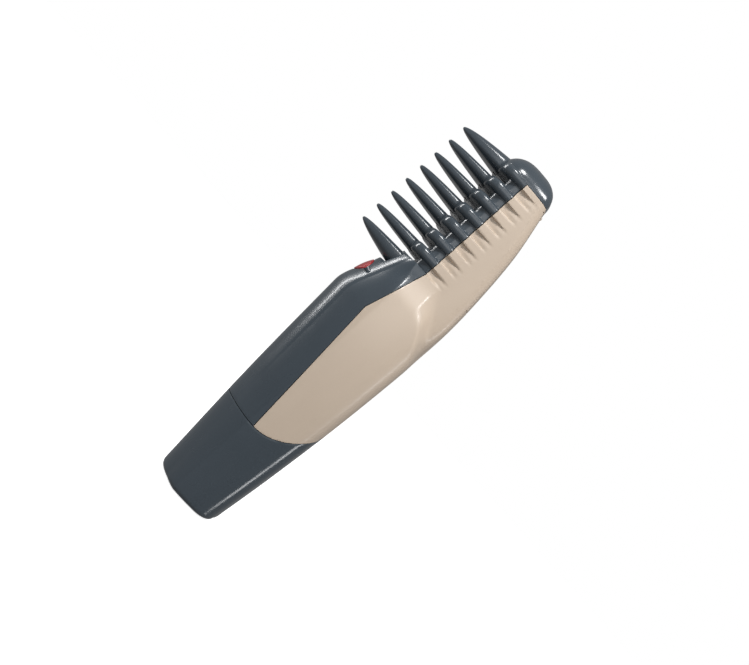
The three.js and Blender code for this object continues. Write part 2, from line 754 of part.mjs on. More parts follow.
function makeBatteryTray() {
  const outer = cellRadius + 1;
  const sleeve = unite(
    bar('z', outer, trayLow, trayTop, [-cellOffset, 0, 0], 20),
    bar('z', outer, trayLow, trayTop, [cellOffset, 0, 0], 20),
    box([-cellOffset, -outer, trayLow], [cellOffset, outer, trayTop]),
  );
  const flangeHalf = outer + cellOffset + 0.35;
  const flange = box([-flangeHalf, -outer - 0.15, trayTop - 0.1], [flangeHalf, 13, trayTop + 1.6]);
  const bores = [-1, 1].map((side) =>
    bar('z', cellRadius + gap, trayLow - 1, trayTop - 0.1, [side * cellOffset, 0, 0], 20),
  );
  const leadHoles = [-1, 1].map((side) =>
    bar('z', 1.2, trayTop - 1, trayTop + 3, [side * cellOffset, 0, 0], 12),
  );
  return cut(sleeve.add(flange), ...bores, ...leadHoles);
}

// A coil spring that narrows towards the cell, wound from a wire.
function coilSpring(side, from, to, wide, narrow, turns) {
  const wire = 0.35;
  const steps = turns * 10;
  const points = range(steps + 1).map((i) => {
    const t = i / steps;
    const angle = t * turns * 2 * Math.PI;
    const radius = THREE.MathUtils.lerp(wide, narrow, t);
    const z = THREE.MathUtils.lerp(from + wire, to - wire, t);
    return new THREE.Vector3(side * cellOffset + radius * Math.cos(angle), radius * Math.sin(angle), z);
  });
  return sweep(points, wire, steps, 6);
}

function sweep(points, radius, steps, sides) {
  const outline = range(sides).map((i) => {
    const angle = (i / sides) * 2 * Math.PI;
    return new THREE.Vector2(radius * Math.cos(angle), radius * Math.sin(angle));
  });
  const geometry = new THREE.ExtrudeGeometry(new THREE.Shape(outline), {
    steps,
    bevelEnabled: false,
    extrudePath: new THREE.CatmullRomCurve3(points),
  });
  return toSolid(geometry);
}

const stripTop = wall + gap + 0.5;

function makeCapContact() {
  const strip = box([-cellOffset - 4.5, -4.5, wall + gap], [cellOffset + 4.5, 4.5, stripTop]);
  const pad = bar('z', 2.6, wall + gap, cellBottom - gap, [cellOffset, 0, 0], 16);
  return strip.add(pad);
}

// A plate over one end of a cell with a post for a wire.
function trayContact(side) {
  const low = cellBottom + cellLength + nubLength + gap;
  const plate = bar('z', 4.2, low, low + 0.5, [side * cellOffset, 0, 0], 16);
  return plate.add(bar('z', 0.8, low, trayTop + 2.4, [side * cellOffset, 0, 0], 10));
}

// ---- button and switch, modelled on the button's axis ----
const skirtBottom = -4.1;
const flangeBottom = -4.7;
const switchTop = flangeBottom - buttonTravel - 0.8;
const switchBottom = switchTop - 3.0;

function makePowerButton() {
  const dome = 1.3;
  const rounds = range(6).map((i) => {
    const t = 1 - i / 5;
    return new THREE.Vector2(t, buttonProud - dome * t ** 2.2);
  });
  const profile = [new THREE.Vector2(0, skirtBottom), new THREE.Vector2(1, skirtBottom), ...rounds];
  const geometry = new THREE.LatheGeometry(profile, 28);
  geometry.rotateX(Math.PI / 2);
  geometry.scale(buttonHalfWidth, buttonHalfLength, 1);
  const cap = toSolid(geometry);
  const flange = ovalBar(buttonHalfWidth + 0.6, buttonHalfLength + 1, flangeBottom, skirtBottom + 0.05);
  return onButtonAxis(cap.add(flange));
}

function makeSwitchPlunger() {
  return onButtonAxis(bar('z', 1.3, switchTop - 1.2, flangeBottom - gap, [0, 0, 0], 16));
}

function makePushSwitch() {
  const body = box([-switchHalf, -switchHalf, switchBottom], [switchHalf, switchHalf, switchTop]);
  return onButtonAxis(body.subtract(bar('z', 1.3 + gap, switchBottom + 0.4, switchTop + 1, [0, 0, 0], 16)));
}

function makeSwitchBoard() {
  const top = switchBottom - gap;
  return onButtonAxis(box([-9.6, -5.2, top - 0.8], [9.6, 4.6, top]));
}

// ---- hatch ----
function makeHeadHatch() {
  const pivotZ = hatchPivotHeight;
  const straight = box([-hatchHalfWidth, 4, hatchLow], [hatchHalfWidth, far, pivotZ]);
  const topEdge = onPivot(hatchPivotDepth, -hatchHalfWidth, hatchHalfWidth, 24);
  const panel = backLayer(0, hatchThick).intersect(straight.add(topEdge));
  const earWays = [-1, 1].map((side) => {
    const from = Math.min(side * 3.05, side * 6.1);
    const to = Math.max(side * 3.05, side * 6.1);
    return box([from, 0, pivotZ - 1.6], [to, far, pivotZ + 3]);
  });
  const knuckle = onPivot(knuckleRadius, -3.05, 3.05).intersect(bodyOuter);
  return cut(cut(panel, ...earWays).add(knuckle), onPivot(0.8, -7, 7, 12));
}

function makeHatchPin() {
  return onPivot(0.5, -5.7, 5.7, 12);
}

// ---- screws that hold the shells and the comb head ----
function longScrew(x, z, tip, headTop) {
  const shank = bar('y', screwRadius, tip, headTop - 1, [x, 0, z], 12);
  const head = bar('y', screwHeadRadius, headTop - 1.6, headTop, [x, 0, z], 18);
  const cross = unite(
    box([x - 1.3, headTop - 0.7, z - 0.3], [x + 1.3, headTop + 1, z + 0.3]),
    box([x - 0.3, headTop - 0.7, z - 1.3], [x + 0.3, headTop + 1, z + 1.3]),
  );
  return shank.add(head).subtract(cross);
}

// ---- wires ----
const wireRadius = 0.6;

function wire(points) {
  return sweep(points.map((p) => new THREE.Vector3(...p)), wireRadius, 18, 8);
}

const contactTop = trayTop + 2.4 + gap;
const bellUnder = motorHeight - motorHalfFlat - gap;
const bellY = motorFace + motorLength - 0.5;

function boardPoint(x, along) {
  const underBoard = switchBottom - gap - 0.8 - gap - wireRadius;
  const p = new THREE.Vector3(x, along, underBoard).applyMatrix4(buttonPlace);
  return [p.x, p.y, p.z];
}

function wireBatteryToSwitch() {
  return wire([
    [-cellOffset, 0, contactTop],
    [-cellOffset, 0, contactTop + 5],
    [-cellOffset - 2, -6, (contactTop + motorHeight - 7) / 2],
    [-cellOffset - 2, -11.5, motorHeight - 12],
    boardPoint(-8, -9),
    boardPoint(-8, -3),
  ]);
}

function wireSwitchToMotor() {
  return wire([
    boardPoint(8, -3),
    boardPoint(8.5, -9),
    [11.5, -9.5, motorHeight - 10],
    [12.5, -1, motorHeight - 13],
    [11.6, 9, motorHeight - 11.5],
    [8, bellY - 1, motorHeight - 10.5],
    [5.2, bellY, motorHeight - 9.6],
    [5, bellY, bellUnder],
  ]);
}

function wireMotorToBattery() {
  return wire([
    [cellOffset, 0, contactTop],
    [cellOffset, 0, contactTop + 4],
    [cellOffset + 1, 7, (contactTop + motorHeight - 11) / 2],
    [6.5, 12.5, motorHeight - 15],
    [1, bellY - 1, motorHeight - 11.4],
    [-4, bellY, motorHeight - 10.2],
    [-5, bellY, bellUnder],
  ]);
}

// ---- the assembly ----
const finishes = {
  grey: { color: 0x454e56, roughness: 0.35, metalness: 0 },
  beige: { color: 0xc4b4a1, roughness: 0.4, metalness: 0 },
  red: { color: 0xb03038, roughness: 0.4, metalness: 0 },
  black: { color: 0x1d1e20, roughness: 0.5, metalness: 0 },
  nylon: { color: 0xe6e3da, roughness: 0.5, metalness: 0 },
  steel: { color: 0xb9bcc0, roughness: 0.3, metalness: 1 },
  zinc: { color: 0x9aa0a4, roughness: 0.4, metalness: 1 },
  board: { color: 0x2f6b44, roughness: 0.6, metalness: 0 },
  jacket: { color: 0x3f6a4a, roughness: 0.4, metalness: 0.3 },
  redWire: { color: 0xa02a28, roughness: 0.5, metalness: 0 },
  blackWire: { color: 0x202022, roughness: 0.5, metalness: 0 },
};

const group = new THREE.Group();

function addPart(name, finish, solid) {
  const mesh = new THREE.Mesh(toGeometry(solid), new THREE.MeshStandardMaterial(finishes[finish]));
  mesh.name = name;
  group.add(mesh);
}

addPart('front_shell', 'grey', makeFrontShell());
addPart('back_shell', 'beige', makeBackShell());
addPart('battery_cap', 'grey', makeBatteryCap());
addPart('comb_head', 'grey', makeCombHead());
addPart('head_hatch', 'beige', makeHeadHatch());
addPart('hatch_pin', 'steel', makeHatchPin());

addPart('power_button', 'red', makePowerButton());
addPart('switch_plunger', 'black', makeSwitchPlunger());
addPart('push_switch', 'black', makePushSwitch());
addPart('switch_board', 'board', makeSwitchBoard());

addPart('fixed_blade', 'steel', makeFixedBlade());
addPart('moving_blade', 'steel', makeMovingBlade());
bladeScrewHeights.forEach((z, i) => addPart(`blade_screw_${i + 1}`, 'zinc', bladeScrew(z)));
addPart('blade_carriage', 'nylon', makeBladeCarriage());

addPart('motor_can', 'zinc', makeMotorCan());
addPart('motor_end_cap', 'black', makeMotorEndCap());
addPart('motor_shaft', 'steel', makeMotorShaft());
addPart('eccentric_cam', 'nylon', makeEccentricCam());
addPart('motor_bracket', 'zinc', makeMotorBracket());
[-1, 1].forEach((side, i) => addPart(`motor_screw_${i + 1}`, 'zinc', motorScrew(side)));

addPart('battery_tray', 'black', makeBatteryTray());
addPart('battery_left', 'jacket', makeCell(-1, true));
addPart('battery_right', 'jacket', makeCell(1, false));
addPart('cap_contact', 'zinc', makeCapContact());
addPart('cap_spring', 'steel', coilSpring(-1, stripTop + gap, cellBottom - 0.1, 3.6, 2.2, 3));
addPart('tray_contact', 'zinc', trayContact(-1));
addPart('tray_return_contact', 'zinc', trayContact(1));

shellScrewHeights.forEach((z, i) => {
  addPart(`shell_screw_${i + 1}`, 'zinc', longScrew(0, z, -frontDepth(capHeight) + 4.5, backDepth(z) - 2.2));
});
[-1, 1].forEach((side, i) => {
  const headTop = backDepth(combScrewHeight) - 3.5;
  const screw = longScrew(side * combScrewX, combScrewHeight, slotFloor + 1.6, headTop);
  addPart(`comb_screw_${i + 1}`, 'zinc', screw);
});

addPart('wire_battery_to_switch', 'redWire', wireBatteryToSwitch());
addPart('wire_switch_to_motor', 'redWire', wireSwitchToMotor());
addPart('wire_motor_to_battery', 'blackWire', wireMotorToBattery());

export default group;
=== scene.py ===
import json
import math
import bpy
from mathutils import Matrix, Vector

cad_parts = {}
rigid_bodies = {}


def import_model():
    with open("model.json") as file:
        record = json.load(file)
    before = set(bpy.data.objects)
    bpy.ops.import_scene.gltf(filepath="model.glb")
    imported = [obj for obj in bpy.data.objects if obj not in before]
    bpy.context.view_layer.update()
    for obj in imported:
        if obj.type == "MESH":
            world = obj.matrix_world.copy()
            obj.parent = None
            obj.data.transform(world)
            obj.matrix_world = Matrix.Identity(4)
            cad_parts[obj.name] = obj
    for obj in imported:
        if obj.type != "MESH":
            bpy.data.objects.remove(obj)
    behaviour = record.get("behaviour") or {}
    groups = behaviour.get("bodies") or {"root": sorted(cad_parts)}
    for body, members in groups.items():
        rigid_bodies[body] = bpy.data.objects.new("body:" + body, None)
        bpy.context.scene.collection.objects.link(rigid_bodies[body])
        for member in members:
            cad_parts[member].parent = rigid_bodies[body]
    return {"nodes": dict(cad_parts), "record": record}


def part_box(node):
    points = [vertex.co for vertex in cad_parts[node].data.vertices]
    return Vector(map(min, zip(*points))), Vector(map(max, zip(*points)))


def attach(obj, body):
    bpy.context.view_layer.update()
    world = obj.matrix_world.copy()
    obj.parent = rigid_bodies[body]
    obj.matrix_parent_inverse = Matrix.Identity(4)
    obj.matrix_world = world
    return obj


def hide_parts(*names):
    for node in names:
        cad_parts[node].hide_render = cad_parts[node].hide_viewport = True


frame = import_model()
for leftover in [one for one in bpy.data.objects if one.type != "EMPTY" and one.name not in frame["nodes"]]:
    bpy.data.objects.remove(leftover)
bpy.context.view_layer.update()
mm = 0.001
cad = {node: [[value / mm for value in corner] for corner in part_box(node)] for node in frame["nodes"]}
joints = {joint["name"]: joint for joint in frame["record"]["behaviour"]["joints"]}
print("frame loaded:", len(cad), "nodes")


# helpers for meshes
def letGo():
    if bpy.context.object and bpy.context.object.mode != "OBJECT":
        bpy.ops.object.mode_set(mode="OBJECT")
    bpy.ops.object.select_all(action="DESELECT")


def pick(piece):
    letGo()
    piece.select_set(True)
    bpy.context.view_layer.objects.active = piece


def editAll(piece):
    pick(piece)
    bpy.ops.object.mode_set(mode="EDIT")
    bpy.ops.mesh.select_all(action="SELECT")


def backToObject():
    bpy.ops.object.mode_set(mode="OBJECT")


def tidyMesh(piece, weld=0.004):
    # weld what meets and turn every face outwards
    editAll(piece)
    bpy.ops.mesh.remove_doubles(threshold=weld * mm)
    bpy.ops.mesh.dissolve_degenerate(threshold=0.0005 * mm)
    bpy.ops.mesh.select_all(action="SELECT")
    bpy.ops.mesh.normals_make_consistent(inside=False)
    backToObject()


def freeze(piece):
    pick(piece)
    bpy.ops.object.transform_apply(location=True, rotation=True, scale=True)


def smooth(piece, degrees=35):
    pick(piece)
    bpy.ops.object.shade_smooth_by_angle(angle=math.radians(degrees))


def gridPiece(name, rows, around=False):
    # a grid whose rows of points, in mm, are laid on a surface; around closes each row on itself
    letGo()
    bpy.ops.mesh.primitive_grid_add(x_subdivisions=len(rows[0]) - 1, y_subdivisions=len(rows) - 1, size=1)
    piece = bpy.context.object
    piece.name = name
    flat = [point for row in rows for point in row]
    for vertex, point in zip(piece.data.vertices, flat):
        vertex.co = Vector(point) * mm
    if around:
        tidyMesh(piece)
    return piece


def closedRow(points):
    return points + [points[0]]


def dropFaces(piece, inside):
    # deletes the faces whose centre, in mm, passes the test
    editAll(piece)
    bpy.ops.mesh.select_all(action="DESELECT")
    bpy.ops.mesh.select_mode(type="FACE")
    backToObject()
    for face in piece.data.polygons:
        face.select = inside(face.center / mm)
    bpy.ops.object.mode_set(mode="EDIT")
    bpy.ops.mesh.delete(type="FACE")
    bpy.ops.mesh.select_mode(type="VERT")
    backToObject()


def modify(piece, kind, **settings):
    pick(piece)
    modifier = piece.modifiers.new(kind.title(), kind)
    for key, value in settings.items():
        setattr(modifier, key, value)
    bpy.ops.object.modifier_apply(modifier=modifier.name)


def thicken(piece, wall):
    modify(piece, "SOLIDIFY", thickness=wall * mm, offset=-1, use_even_offset=False, use_rim=True)


def roundEdges(piece, width, degrees=50, segments=3):
    modify(piece, "BEVEL", width=width * mm, segments=segments, limit_method="ANGLE",
           angle_limit=math.radians(degrees), use_clamp_overlap=True, harden_normals=False)


def carve(piece, tool, how="DIFFERENCE"):
    modify(piece, "BOOLEAN", object=tool, operation=how, solver="MANIFOLD")
    bpy.data.objects.remove(tool, do_unlink=True)


def bar(name, axis, radius, start, end, centre, sides=32):
    # a round bar along x, y or z between two coordinates
    turn = {"x": (0, math.pi / 2, 0), "y": (math.pi / 2, 0, 0), "z": (0, 0, 0)}[axis]
    at = list(centre)
    at["xyz".index(axis)] = (start + end) / 2
    letGo()
    bpy.ops.mesh.primitive_cylinder_add(vertices=sides, radius=radius * mm, depth=(end - start) * mm,
                                        location=Vector(at) * mm, rotation=turn)
    piece = bpy.context.object
    piece.name = name
    freeze(piece)
    return piece


def block(name, low, high):
    letGo()
    middle = (Vector(low) + Vector(high)) / 2
    bpy.ops.mesh.primitive_cube_add(size=1, location=middle * mm, scale=(Vector(high) - Vector(low)) * mm)
    piece = bpy.context.object
    piece.name = name
    freeze(piece)
    return piece


def joinAll(name, pieces):
    letGo()
    for piece in pieces:
        piece.select_set(True)
    bpy.context.view_layer.objects.active = pieces[0]
    bpy.ops.object.join()
    pieces[0].name = name
    return pieces[0]


def closedTube(name, rows):
    # rows of closed sections, with a face over each end
    piece = gridPiece(name, [closedRow(row) for row in rows], around=True)
    editAll(piece)
    bpy.ops.mesh.select_all(action="DESELECT")
    bpy.ops.mesh.select_non_manifold()
    bpy.ops.mesh.edge_face_add()
    backToObject()
    tidyMesh(piece)
    return piece


def faceOutwards(piece):
    # turns an open skin so that its faces look away from the body's axis
    editAll(piece)
    bpy.ops.mesh.normals_make_consistent(inside=False)
    backToObject()
    outward = 0
    for face in piece.data.polygons:
        outward += face.normal.dot(Vector((face.center.x, face.center.y, 0))) * face.area
    if outward < 0:
        editAll(piece)
        bpy.ops.mesh.flip_normals()
        backToObject()


def remembered(make):
    # the same function of a height with its results kept, read to a tenth of a millimetre
    kept = {}

    def read(z):
        key = round(z, 1)
        if key not in kept:
            kept[key] = make(key)
        return kept[key]

    return read


def middle(node):
    return [(a + b) / 2 for a, b in zip(*cad[node])]


def smoothstep(low, high, value):
    t = min(max((value - low) / (high - low), 0), 1)
    return t * t * (3 - 2 * t)


def lerp(a, b, t):
    return a + (b - a) * t


def spread(start, end, steps):
    return [lerp(start, end, i / steps) for i in range(steps + 1)]


def along(points, z):
    # a smooth curve through [height, value] pairs, read at a height
    last = len(points) - 1
    if z <= points[0][0]:
        return points[0][1]
    if z >= points[last][0]:
        return points[last][1]
    i = next(k for k, point in enumerate(points) if point[0] > z) - 1

    def slope(k):
        a = points[max(k - 1, 0)]
        b = points[min(k + 1, last)]
        return (b[1] - a[1]) / (b[0] - a[0])

    span = points[i + 1][0] - points[i][0]
    t = (z - points[i][0]) / span
    return ((2 * t**3 - 3 * t**2 + 1) * points[i][1] + (t**3 - 2 * t**2 + t) * span * slope(i)
            + (3 * t**2 - 2 * t**3) * points[i + 1][1] + (t**3 - t**2) * span * slope(i + 1))


# outline of the body, in mm
body = {
    "gap": 0.3,
    "wall": 2.0,
    "skinIn": 0.04,            # how far the smooth skin lies inside the outline
    "capHeight": 40,
    "bendHeight": 99,
    "bendFront": 24.3,
    "baseFront": 15.9,
    "baseBack": 15.6,
    "baseHalf": 17,
    "baseRounding": 2.5,
    "bulgeHalf": 21,
    "bulgeHeight": 92,
    "backMost": 22.3,
    "neckEnd": 128.3,
    "neckFront": 16.0,
    "headHalf": 14.7,
    "headEnd": 180.0,
    "headBack": 12.2,
    "crownHalf": 11.5,
    "crownRise": 5.0,
    "crownStep": 0.45,         # how proud the crown stands of the shoulder at the neck
    "backSag": 1.6,
    "cornerBack": 9.0,         # rounding of the back corners, on the handle and on the head
    "cornerHead": 4.5,
    "creaseTop": 5,
    "creaseSlant": 1.55,
    "seamCap": -3.1,
    "seamBend": -8.9,
    "seamHead": -2.3,
    "tongueCurve": 0.0283,
}
comb = {
    "count": 8,
    "pitch": 7.71,
    "first": 125.5,
    "tip": -35.5,
    "root": -14,
    "halfThick": 2.66,
    "endOuter": 5.2,
    "halfWidth": 7.4,
    "slotFloor": -8.5,
    "ribHalf": 2.15,
    "front": 15.0,
    "panelIn": 1.6,            # depth of the panels between the ribs
    "noseLength": 10.3,
}

frontBend = body["bendHeight"] + 5
neckSlope = (body["bendFront"] - body["neckFront"]) / (body["neckEnd"] - frontBend)
frontPoints = [
    (0, body["baseFront"]),
    (body["bendHeight"] / 2, lerp(body["baseFront"], body["bendFront"], 0.57)),
    (body["bendHeight"], body["bendFront"] - 0.12),
    (frontBend - 1.6, body["bendFront"]),
    (frontBend + 1.8, body["bendFront"] - neckSlope * 1.9),
    (frontBend + 5.5, body["bendFront"] - neckSlope * 5.5),
    (body["neckEnd"], body["neckFront"]),
]
backPoints = [
    (0, body["baseBack"]),
    (body["bendHeight"] * 0.27, lerp(body["baseBack"], body["backMost"], 0.4)),
    (body["bendHeight"] * 0.6, lerp(body["baseBack"], body["backMost"], 0.76)),
    (body["bendHeight"] + 2, body["backMost"]),
    (body["neckEnd"] - 8, body["backMost"] - 0.15),
    (body["neckEnd"] + 12, lerp(body["headBack"], body["backMost"], 0.81)),
    (body["neckEnd"] + 32, lerp(body["headBack"], body["backMost"], 0.51)),
    (body["headEnd"], body["headBack"]),
]
widthPoints = [
    (0, body["baseHalf"]),
    (body["capHeight"], lerp(body["baseHalf"], body["bulgeHalf"], 0.5)),
    (body["bulgeHeight"] - 22, body["bulgeHalf"] - 0.4),
    (body["bulgeHeight"], body["bulgeHalf"]),
    (body["bulgeHeight"] + 18, body["bulgeHalf"] - 1.2),
    (body["neckEnd"], body["headHalf"] + 2.3),
]
seamPoints = [
    (body["capHeight"], body["seamCap"]),
    (body["bendHeight"] + 3, body["seamBend"]),
    (body["neckEnd"], body["seamHead"]),
    (body["headEnd"], body["seamHead"]),
]


def frontDepth(z):
    return along(frontPoints, z) - body["skinIn"]


def backDepth(z):
    return along(backPoints, z) - body["skinIn"]


def seamAt(z):
    for (z0, y0), (z1, y1) in zip(seamPoints, seamPoints[1:]):
        if z <= z1:
            return lerp(y0, y1, (z - z0) / (z1 - z0))
    return body["seamHead"]


def capSeam(y):
    rise = body["tongueCurve"] * (y - body["seamCap"]) ** 2 if y > body["seamCap"] else 0
    return body["capHeight"] + rise


def halfWidth(z, y):
    # the wide handle steps down to the head along a slanting crease
    slanted = z + body["creaseSlant"] * max(0, y - body["creaseTop"])
    reach = lerp(15, 8, smoothstep(4, 12, y))
    step = smoothstep(body["neckEnd"] - reach, body["neckEnd"] + 2.0, slanted)
    return lerp(along(widthPoints, z), body["headHalf"], step) - body["skinIn"]


def ribRelief(z, y):
    # how far the side of the head lies in from its ribs, at a height and depth
    weight = smoothstep(body["neckEnd"] - 0.7, body["neckEnd"] + 0.5, z)
    turn = (z - comb["first"]) / comb["pitch"]
    off = abs(turn - round(turn)) * 2
    onRib = 1 - smoothstep(0.44, 0.60, off)
    fade = 1 - smoothstep(-2, 8.5 - 2.2 * off**2, y)
    return weight * comb["panelIn"] * (1 - onRib) * fade


def halfOutline(z):
    # the section at a height as points from the middle of the front round to the middle of the back
    onHead = smoothstep(body["neckEnd"] - 8, body["neckEnd"], z)
    front, back = frontDepth(z), backDepth(z)
    crown = min(body["crownHalf"], along(widthPoints, z) - 6)
    rise = body["crownRise"]
    step = body["crownStep"] * smoothstep(40, 99, z) * (1 - onHead)
    ontoHead = smoothstep(body["bendHeight"], body["neckEnd"] - 8, z)
    corner = lerp(body["cornerBack"], body["cornerHead"], ontoHead)
    sideFront = lerp(-6, -8, onHead)
    sideBack = back - body["backSag"] - corner
    crownPart = [(crown * t, -front + rise * t * t) for t in spread(0, 1, 16)]
    edgeY = -front + rise
    start = (crown + 0.25 + step * 0.35, edgeY + 0.22 + step * 1.05)
    sideX = halfWidth(z, sideFront) - 0.4
    control = (lerp(start[0], sideX, 0.66), lerp(start[1], sideFront, 0.43))
    shoulder = []
    for t in spread(0, 1, 20):
        a, b, c = (1 - t) ** 2, 2 * t * (1 - t), t * t
        shoulder.append((a * start[0] + b * control[0] + c * sideX,
                         a * start[1] + b * control[1] + c * sideFront))
    side = []
    for t in spread(0, 1, 24)[1:]:
        y = lerp(sideFront, sideBack, t)
        side.append((halfWidth(z, y) - 0.4 * (2 * t - 1) ** 2, y))
    round_ = []
    for t in spread(0, 1, 12)[1:]:
        y = sideBack + corner * math.sin(t * math.pi / 2)
        across = halfWidth(z, y) - 0.4 - corner * (1 - math.cos(t * math.pi / 2))
        round_.append((across, y))
    flat = round_[-1][0]
    rear = [(flat * t, back - body["backSag"] * t * t) for t in spread(1, 0, 12)[1:]]
    return crownPart, shoulder + side + round_ + rear


def resample(points, count):
    # the same line with its points spaced evenly
    steps = [math.dist(a, b) for a, b in zip(points, points[1:])]
    total = sum(steps)
    result, i, walked = [points[0]], 0, 0
    for k in range(1, count - 1):
        target = total * k / (count - 1)
        while walked + steps[i] < target:
            walked += steps[i]
            i += 1
        t = (target - walked) / steps[i]
        result.append(tuple(lerp(a, b, t) for a, b in zip(points[i], points[i + 1])))
    return result + [points[-1]]


def cutWhere(points, passed):
    # splits a line at the first point that passes the test, which is a number that turns positive
    for i, (a, b) in enumerate(zip(points, points[1:])):
        fa, fb = passed(a), passed(b)
        if fa <= 0 < fb:
            t = fa / (fa - fb)
            middle = tuple(lerp(u, v, t) for u, v in zip(a, b))
            return points[: i + 1] + [middle], [middle] + points[i + 1:]
    return points, [points[-1]]


def relieved(x, y, z):
    # a point of the side, moved in where the panels between the ribs are
    share = smoothstep(7, 12.5, abs(x))
    return x - math.copysign(ribRelief(z, y) * share, x), y, z


def acrossFront(half):
    # a half row from the middle to the seam, with its other side before it
    return [(-x, y, z) for x, y, z in reversed(half)] + half[1:]


screwHeights = [middle(f"shell_screw_{i}")[2] for i in (1, 2)]

# front shell
frontShell = {
    "rows": 64,
    "sidePoints": 26,
    "notchHalf": 7.9,
    "notchLow": 119.9,
    "footHalf": 6.3,
    "edge": 0.22,
    "endWallIn": 0.35,
    "postRadius": 1.2,
    "bossRadius": 3.0,
    "pilotRadius": 1.5,
}


def frontRow(z):
    crownPart, rest = halfOutline(z)
    shoulder, _ = cutWhere(rest, lambda p: p[1] - (seamAt(z) - body["gap"] / 2))
    return acrossFront([(x, y, z) for x, y in crownPart + resample(shoulder, frontShell["sidePoints"])])


def rowHeights(low, high, count, stops):
    heights = spread(low, high, count)
    for stop in stops:
        nearest = min(range(1, count), key=lambda i: abs(heights[i] - stop))
        heights[nearest] = stop
    return heights


def makeFrontShell():
    gap = body["gap"]
    low = body["capHeight"] + gap / 2
    high = body["neckEnd"] - gap / 2
    heights = rowHeights(low, high, frontShell["rows"], [frontShell["notchLow"]])
    piece = gridPiece("frontShellSkin", [frontRow(z) for z in heights])
    notch = frontShell["notchHalf"]
    # the crown's points nearest the notch move onto its edge
    for vertex in piece.data.vertices:
        x, _, z = vertex.co / mm
        if z > frontShell["notchLow"] - 0.01 and abs(abs(x) - notch) < 0.36:
            vertex.co.x = math.copysign(notch * mm, x)
    dropFaces(piece, lambda p: abs(p.x) < notch and p.z > frontShell["notchLow"])
    faceOutwards(piece)
    thicken(piece, body["wall"])
    tidyMesh(piece)
    roundEdges(piece, frontShell["edge"], 55)
    # the wall across the end, on each side of the comb's foot
    crownPart, rest = halfOutline(high)
    near, deep, inset = frontShell["footHalf"], comb["slotFloor"] + 2, frontShell["endWallIn"]
    outline = [p for p in crownPart + rest if p[0] > near and p[1] < deep]
    outline = [(near, outline[0][1])] + outline + [(near, outline[-1][1])]
    for side in (-1, 1):
        rows = [[(side * (x - inset), y + inset, z) for x, y in outline] for z in (high - 1.9, high - 0.05)]
        carve(piece, closedTube("endWall", rows), "UNION")
    return piece


# the button's own axis
buttonAxis = Vector(joints["button_press"]["axis"]).normalized()
buttonTurn = Matrix.Rotation(math.atan2(buttonAxis.y, -buttonAxis.z), 4, "X")
buttonHeight = body["bendHeight"] + (body["neckEnd"] - body["bendHeight"]) * 0.49
buttonPlace = Matrix.Translation(Vector((0, -frontDepth(buttonHeight), buttonHeight)) * mm) @ buttonTurn

button = {"halfX": 6.0, "halfY": 4.4, "proud": 0.55, "skirt": -4.1, "rim": 0.35, "rings": 12,
          "wayGap": 0.28, "mouthGap": 0.9, "point": 0.001}


def ovalRings(name, rings, sides=64):
    # rings of an oval on the button's axis, each with two half widths and a height that may vary across
    rows = []
    for halfX, halfY, heights in rings:
        row = []
        for k in range(sides):
            angle = 2 * math.pi * k / sides
            x, y = halfX * math.cos(angle), halfY * math.sin(angle)
            row.append((x, y, heights(x) if callable(heights) else heights))
        rows.append(closedRow(row))
    piece = gridPiece(name, rows, around=True)
    piece.data.transform(buttonPlace)
    tidyMesh(piece)
    return piece


def crownDrop(x):
    return body["crownRise"] * (x / body["crownHalf"]) ** 2


def makeButton():
    halfX, halfY = button["halfX"], button["halfY"]
    rings = [
        (button["point"], button["point"], button["skirt"]),
        (halfX, halfY, button["skirt"]),
        (halfX, halfY, lambda x: -1.5 - 0.6 * crownDrop(x)),
    ]
    for t in spread(0, 1, 5):
        inward = button["rim"] * (1 - math.cos(t * math.pi / 2))
        lift = button["rim"] * (1 - math.sin(t * math.pi / 2))
        rings.append((halfX - inward, halfY - inward,
                      lambda x, lift=lift: button["proud"] - 0.3 - lift - 0.8 * crownDrop(x)))
    for t in spread(0, 1, button["rings"])[1:]:
        shrink = max(1 - t, 0.0005)
        rings.append(((halfX - button["rim"]) * shrink, (halfY - button["rim"]) * shrink,
                      lambda x, t=t: button["proud"] - 0.3 * (1 - t) ** 2 - 0.8 * crownDrop(x)))
    piece = ovalRings("powerButton", rings)
    smooth(piece, 50)
    return piece


frontPiece = makeFrontShell()
wayX, wayY = button["halfX"] + button["wayGap"], button["halfY"] + button["wayGap"]
mouthX, mouthY = button["halfX"] + button["mouthGap"], button["halfY"] + button["mouthGap"]
hole = ovalRings("buttonWay", [
    (button["point"], button["point"], -9),
    (wayX, wayY, -9),
    (wayX, wayY, lambda x: -0.25 - crownDrop(x)),
    (mouthX, mouthY, lambda x: 0.3 - crownDrop(x)),
    (mouthX, mouthY, 6),
    (button["point"], button["point"], 6),
])
carve(frontPiece, hole)
bossEnd = body["seamBend"] + 1 - body["gap"] / 2
for z in screwHeights:
    at = (0, 0, z)
    boss = bar("frontBoss", "y", frontShell["bossRadius"], 0.8 - frontDepth(z), bossEnd, at)
    carve(frontPiece, boss, "UNION")
    carve(frontPiece, bar("pilot", "y", frontShell["pilotRadius"], 3 - frontDepth(body["capHeight"]), 0, at))
for side in (-1, 1):
    post = bar("buttonPost", "z", frontShell["postRadius"], -9.2, -1.6, (side * 8.6, 0, 0))
    post.data.transform(buttonPlace)
    carve(frontPiece, post, "UNION")
smooth(frontPiece)
print("front shell:", len(frontPiece.data.polygons), "faces")

buttonPiece = makeButton()
print("button:", len(buttonPiece.data.polygons), "faces")


